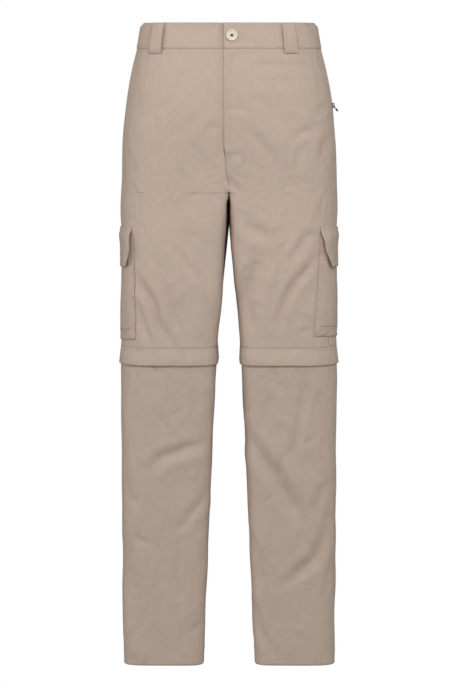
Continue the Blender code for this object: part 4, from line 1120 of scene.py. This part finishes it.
def flap_front(word, height):
    """The flap's front edge runs down to its corner, which is cut away below."""
    pocket = POCKETS[word]
    levels = (FLAP_BOTTOM, FLAP_CORNER, FLAP_TOP)
    x = np.interp(height, levels, (pocket.flap_bottom, pocket.flap_corner, pocket.flap_top))
    return angle_at(x, height)


def flap_back(word, height):
    cut = FLAP_CUT * ease(-height, -FLAP_CORNER, -FLAP_BOTTOM)
    return pocket_front(word, POCKET_TOP) + POCKET_SPAN + FLAP_BEYOND - cut


def flap_face(word, points, angle, height):
    """The flap falls over the pocket's mouth and lifts off towards its free corners."""
    nominal = height - tilted(word)(angle)
    over = LAYER_GAP + POCKET_STANDS * ease(-nominal, -FLAP_TOP + 0.003, -FLAP_TOP + 0.013)
    front, back = flap_front(word, nominal), flap_back(word, nominal)
    share = (angle - front) / (back - front)
    corner = 1 - ease(np.minimum(share, 1 - share), 0, 0.22)
    fall = ease(-nominal, -FLAP_TOP + 0.008, -FLAP_CORNER)
    gaping = (1 - ease(share, 0, 0.20)) * ease(-nominal, -FLAP_TOP + 0.004, -FLAP_TOP + 0.022)
    return over + FLAP_WALL + FLAP_LIFT * corner * fall + FLAP_OPEN * gaping


def gusset_grid(word, side):
    """A strip round three sides of the face, from its edge out and down to the seam on the leg."""
    across, down, steps = 40, 44, 6
    bottom = POCKETS[word].bottom
    drop = [POCKET_TOP + (bottom - POCKET_TOP) * k / down for k in range(down + 1)]
    route = [(0.0, z) for z in drop]
    route += [(k / across, bottom) for k in range(1, across + 1)]
    route += [(1.0, z) for z in reversed(drop[:-1])]
    along, route_height = np.array(route).T
    rows, normals = [], []
    for share_in in np.linspace(0, 1, steps + 1):
        trim = SEAM_GAP * share_in
        low, high = PANEL_WALL + LAYER_GAP, POCKET_STANDS
        stand = low + (high - low) * share_in - GUSSET_SAG * math.sin(math.pi * share_in)
        inner_bottom = bottom + (GUSSET_DROP - trim) * share_in
        fall = (POCKET_TOP - route_height) / (POCKET_TOP - bottom)
        level_height = POCKET_TOP + (inner_bottom - POCKET_TOP) * fall
        inset = (GUSSET_SIDE - trim / half_width(level_height)) * share_in
        angle = pocket_front(word, level_height) + inset + (POCKET_SPAN - 2 * inset) * along
        height = level_height + tilted(word)(angle)
        normal = outward(side, skin, angle, height)
        rows.append(skin(side, angle, height) + normal * stand)
        normals.append(normal)
    return np.stack(rows), np.stack(normals)


# A small cord loop hangs under the left pocket: its points' distances from the middle plane and heights
HANG_LOOP = (
    (0.1615, -0.4835), (0.1622, -0.4930), (0.1636, -0.4985), (0.1660, -0.5005),
    (0.1684, -0.4985), (0.1697, -0.4930), (0.1702, -0.4850),
)
HANG_LOOP_RADIUS = 0.0007
HANG_LOOP_FACE = flat(HANG_LOOP_RADIUS * 1.6)
FLAP_TOP_ROWS, FLAP_EDGE_ROW = (0.0016, 0.0062), 0.0025
flap_rows = stacked(FLAP_TOP, (FLAP_TOP - 0.008, 4), (FLAP_CORNER, 10), (FLAP_BOTTOM, 12))
for side, word in ((1, "left"), (-1, "right")):
    pocket_rows = stacked(POCKET_TOP, (POCKETS[word].bottom + GUSSET_DROP - FACE_TUCK, 40))
    across = between(
        lambda height, word=word: pocket_front(word, height) + GUSSET_SIDE - FACE_TUCK / half_width(height),
        lambda height, word=word: pocket_front(word, height) + POCKET_SPAN - GUSSET_SIDE,
        POCKET_COLUMNS,
    )
    lean = tilted(word)
    face = flat(POCKET_STANDS)
    sewn(f"cargo_pocket_{word}", side, pocket_rows, across, face, PANEL_WALL, khaki, lean=lean)
    outer, normals = gusset_grid(word, side)
    inner = outer - normals * PANEL_WALL
    gusset_lines, pieces = [(outer[1], normals[1])], []
    if side > 0:
        x, height = np.array(HANG_LOOP).T
        turn, steps = np.linspace(0, 1, len(x)), np.linspace(0, 1, 24)
        x, height = np.interp(steps, turn, x), np.interp(steps, turn, height)
        path, _ = laid_on(1, angle_at(x, height), height, HANG_LOOP_FACE)
        pieces.append(ridden(tubes("hang_loop", [path], HANG_LOOP_RADIUS, khaki_thread, 10)))
    cloth_piece(
        f"cargo_gusset_{word}", -side, outer, inner, khaki, lines=gusset_lines, pieces=pieces
    )
    across = between(
        lambda height, word=word: flap_front(word, height),
        lambda height, word=word: flap_back(word, height),
        FLAP_COLUMNS,
    )
    face = lambda points, angle, height, word=word: flap_face(word, points, angle, height)
    lines = []
    for drop in FLAP_TOP_ROWS:
        angles = across(np.array([FLAP_TOP - drop]))[0][1:-1]
        lines.append((angles, FLAP_TOP - drop + lean(angles)))
    low = FLAP_BOTTOM + FLAP_EDGE_ROW
    front_rows = np.linspace(FLAP_TOP - 0.004, low, 30)
    angles = flap_front(word, front_rows) + FLAP_EDGE_ROW / half_width(front_rows)
    lines.append((angles, front_rows + lean(angles)))
    angles = np.linspace(angles[-1], flap_back(word, low) - FLAP_EDGE_ROW / half_width(low), 40)
    lines.append((angles, low + lean(angles)))
    sewn(
        f"cargo_flap_{word}", side, flap_rows, across, face, FLAP_WALL, khaki,
        lean=lean, lines=lines,
    )


# The knee bands: a strip of the cloth sewn round each leg above the zip, which hangs over it.

BAND_FLARE = 0.0030
BAND_ROWS = (0.0012, 0.0085)
BAND_COLUMNS = 180
# The band's turned top edge starts thin, and thickens by this share of the way down from it
BAND_EDGE_WALL, BAND_THICKENS = 0.0002, 0.7


def band_face(points, angle, height):
    return BAND_FLARE * np.clip((BAND_TOP - height) / (BAND_TOP - BAND_BOTTOM), 0, 1)


def once_round(heights):
    turn = np.linspace(-math.pi / 2, 1.5 * math.pi, BAND_COLUMNS, endpoint=False)
    return turn * np.ones((len(heights), 1))


band_rows = stacked(BAND_TOP + 0.8 * BAND_STEP, (BAND_TOP - SEAM_GAP, 2), (BAND_BOTTOM, 9))
band_wall = np.minimum(BAND_WALL, BAND_EDGE_WALL + (band_rows[0] - band_rows) * BAND_THICKENS)[:, None]
for side, word in ((1, "left"), (-1, "right")):
    lines = [(once_round([0])[0], np.array([BAND_TOP - drop])) for drop in BAND_ROWS]
    sewn(
        f"knee_band_{word}", side, band_rows, once_round, band_face, band_wall, khaki,
        ring=True, lines=lines,
    )


# The label: a narrow dark brown woven tab, left blank, which is sewn flat to the left pocket's face near
# the side of the leg.

LABEL_TOP, LABEL_BOTTOM = -0.404, -0.437
LABEL_FRONT, LABEL_BACK = math.radians(82), math.radians(96)
LABEL_WALL, LABEL_GAP = 0.0004, 0.0001


def woven(name, light, shade, pitch, **sockets):
    """A tightly woven tape: fine ribs across it and uneven threads."""
    made, wires, shader = new_material(name, **sockets)
    place = wires.node("ShaderNodeTexCoord", output=3)
    height = wires.node("ShaderNodeSeparateXYZ", (), {0: place}, output=2) * (math.tau / pitch)
    ribs = height.math("SINE", height) * 0.3 + 0.5
    uneven = wires.node("ShaderNodeTexNoise", (), {"Vector": place, "Scale": 900.0, "Detail": 3.0})
    weave = ribs * 0.6 + uneven * 0.4
    raised = wires.node("ShaderNodeBump", (), {"Height": weave, "Strength": 0.6, "Distance": 0.0003})
    feed(wires, shader, Base_Color=weave.mixed(shade, light), Normal=raised)
    return made


label_weave = woven(
    "label_weave", (0.050, 0.040, 0.036, 1), (0.018, 0.014, 0.013, 1), 0.0009, Roughness=0.75
)
label_rows = stacked(LABEL_TOP, (LABEL_BOTTOM, 16))
label_across = between(level(LABEL_FRONT), level(LABEL_BACK), 14)
label_face = flat(POCKET_STANDS + LABEL_WALL + LABEL_GAP)
label = sewn(
    "pocket_label", 1, label_rows, label_across, label_face, LABEL_WALL, label_weave
)


# The waist button: a cream resin disc with a rim and four holes, sewn to the band's left end with two
# strands of dark thread each way, which cross in its middle.

BUTTON_WELL = 0.0011
HOLE_SPACING = 0.0032
BUTTON_THREAD = 0.00042
STRAND_SHIFT = 0.78 * BUTTON_THREAD
# A strand's way from hole to hole: shares of half the crossing, and depths below the well's floor
STRAND = ((-1.0, 0.0012), (-0.9, -0.0002), (0.9, -0.0002), (1.0, 0.0012))


def repaint(name, finish):
    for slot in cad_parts[name].material_slots:
        slot.material = finish


resin = mottled(
    "cream_resin", (0.80, 0.72, 0.61, 1), (0.66, 0.57, 0.46, 1), 260, 0.0001,
    Roughness=0.38, Coat_Weight=0.15, Coat_Roughness=0.3,
)
dark_thread = mottled(
    "dark_thread", (0.060, 0.045, 0.038, 1), (0.020, 0.015, 0.012, 1), 2500, 0.0001, Roughness=0.8
)
repaint("waist_button", resin)
low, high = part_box("waist_button")
button_centre = np.array([(low.x + high.x) / 2, low.y + BUTTON_WELL - BUTTON_THREAD, (low.z + high.z) / 2])
shares, depths = np.array(STRAND).T
strands = []
for slope in (1, -1):
    for shift in (-STRAND_SHIFT, STRAND_SHIFT):
        across = shares * HOLE_SPACING / 2
        strand = np.stack([across + shift, depths, slope * across - slope * shift], axis=-1)
        strands.append(button_centre + strand)
ridden(tubes("button_thread", strands, BUTTON_THREAD, dark_thread, 8))


# The side pocket's zip: woven tapes with a row of teeth on each, a die-cast slider in brown lacquer and
# a short pull with a rubber grip. The knee zips have the same tapes and sliders, under the bands.

TEETH_END = ZIP_POCKET_BOTTOM + 0.013
TOOTH_PITCH, TOOTH_RADIUS = 0.0016, 0.00045
# Each row of teeth: where its teeth start and end, from the seam, and how far down the row starts
TOOTH_ROWS = ((-0.0020, 0.0004, 0.0), (-0.0004, 0.0020, TOOTH_PITCH / 2))
TAPE_FACE = UNDER_PANEL - 0.0005
tape_weave = woven(
    "zip_tape_weave", (0.46, 0.37, 0.295, 1), (0.36, 0.285, 0.225, 1), 0.0008, Roughness=0.85
)
lacquer = mottled(
    "brown_lacquer", (0.42, 0.38, 0.34, 1), (0.30, 0.265, 0.235, 1), 700, 0.00008,
    Roughness=0.32, Metallic=0.85,
)
rubber = mottled(
    "dark_rubber", (0.055, 0.045, 0.040, 1), (0.022, 0.018, 0.016, 1), 1200, 0.00012, Roughness=0.6
)
for name in ("side_zip_tape", "knee_zip_left", "knee_zip_right"):
    repaint(name, tape_weave)
for name in ("side_zip_slider", "side_zip_pull", "knee_slider_left", "knee_slider_right"):
    repaint(name, lacquer)
repaint("side_zip_grip", rubber)
teeth = []
for start, end, shift in TOOTH_ROWS:
    for height in np.arange(ZIP_POCKET_TOP - shift, TEETH_END, -TOOTH_PITCH):
        level_height = np.full(4, height)
        angle = side_seam(level_height) + np.linspace(start, end, 4) / half_width(level_height)
        teeth.append(laid_on(1, angle, level_height, flat(TAPE_FACE + TOOTH_RADIUS))[0])
ridden(tubes("side_zip_teeth", teeth, TOOTH_RADIUS, lacquer, 8))
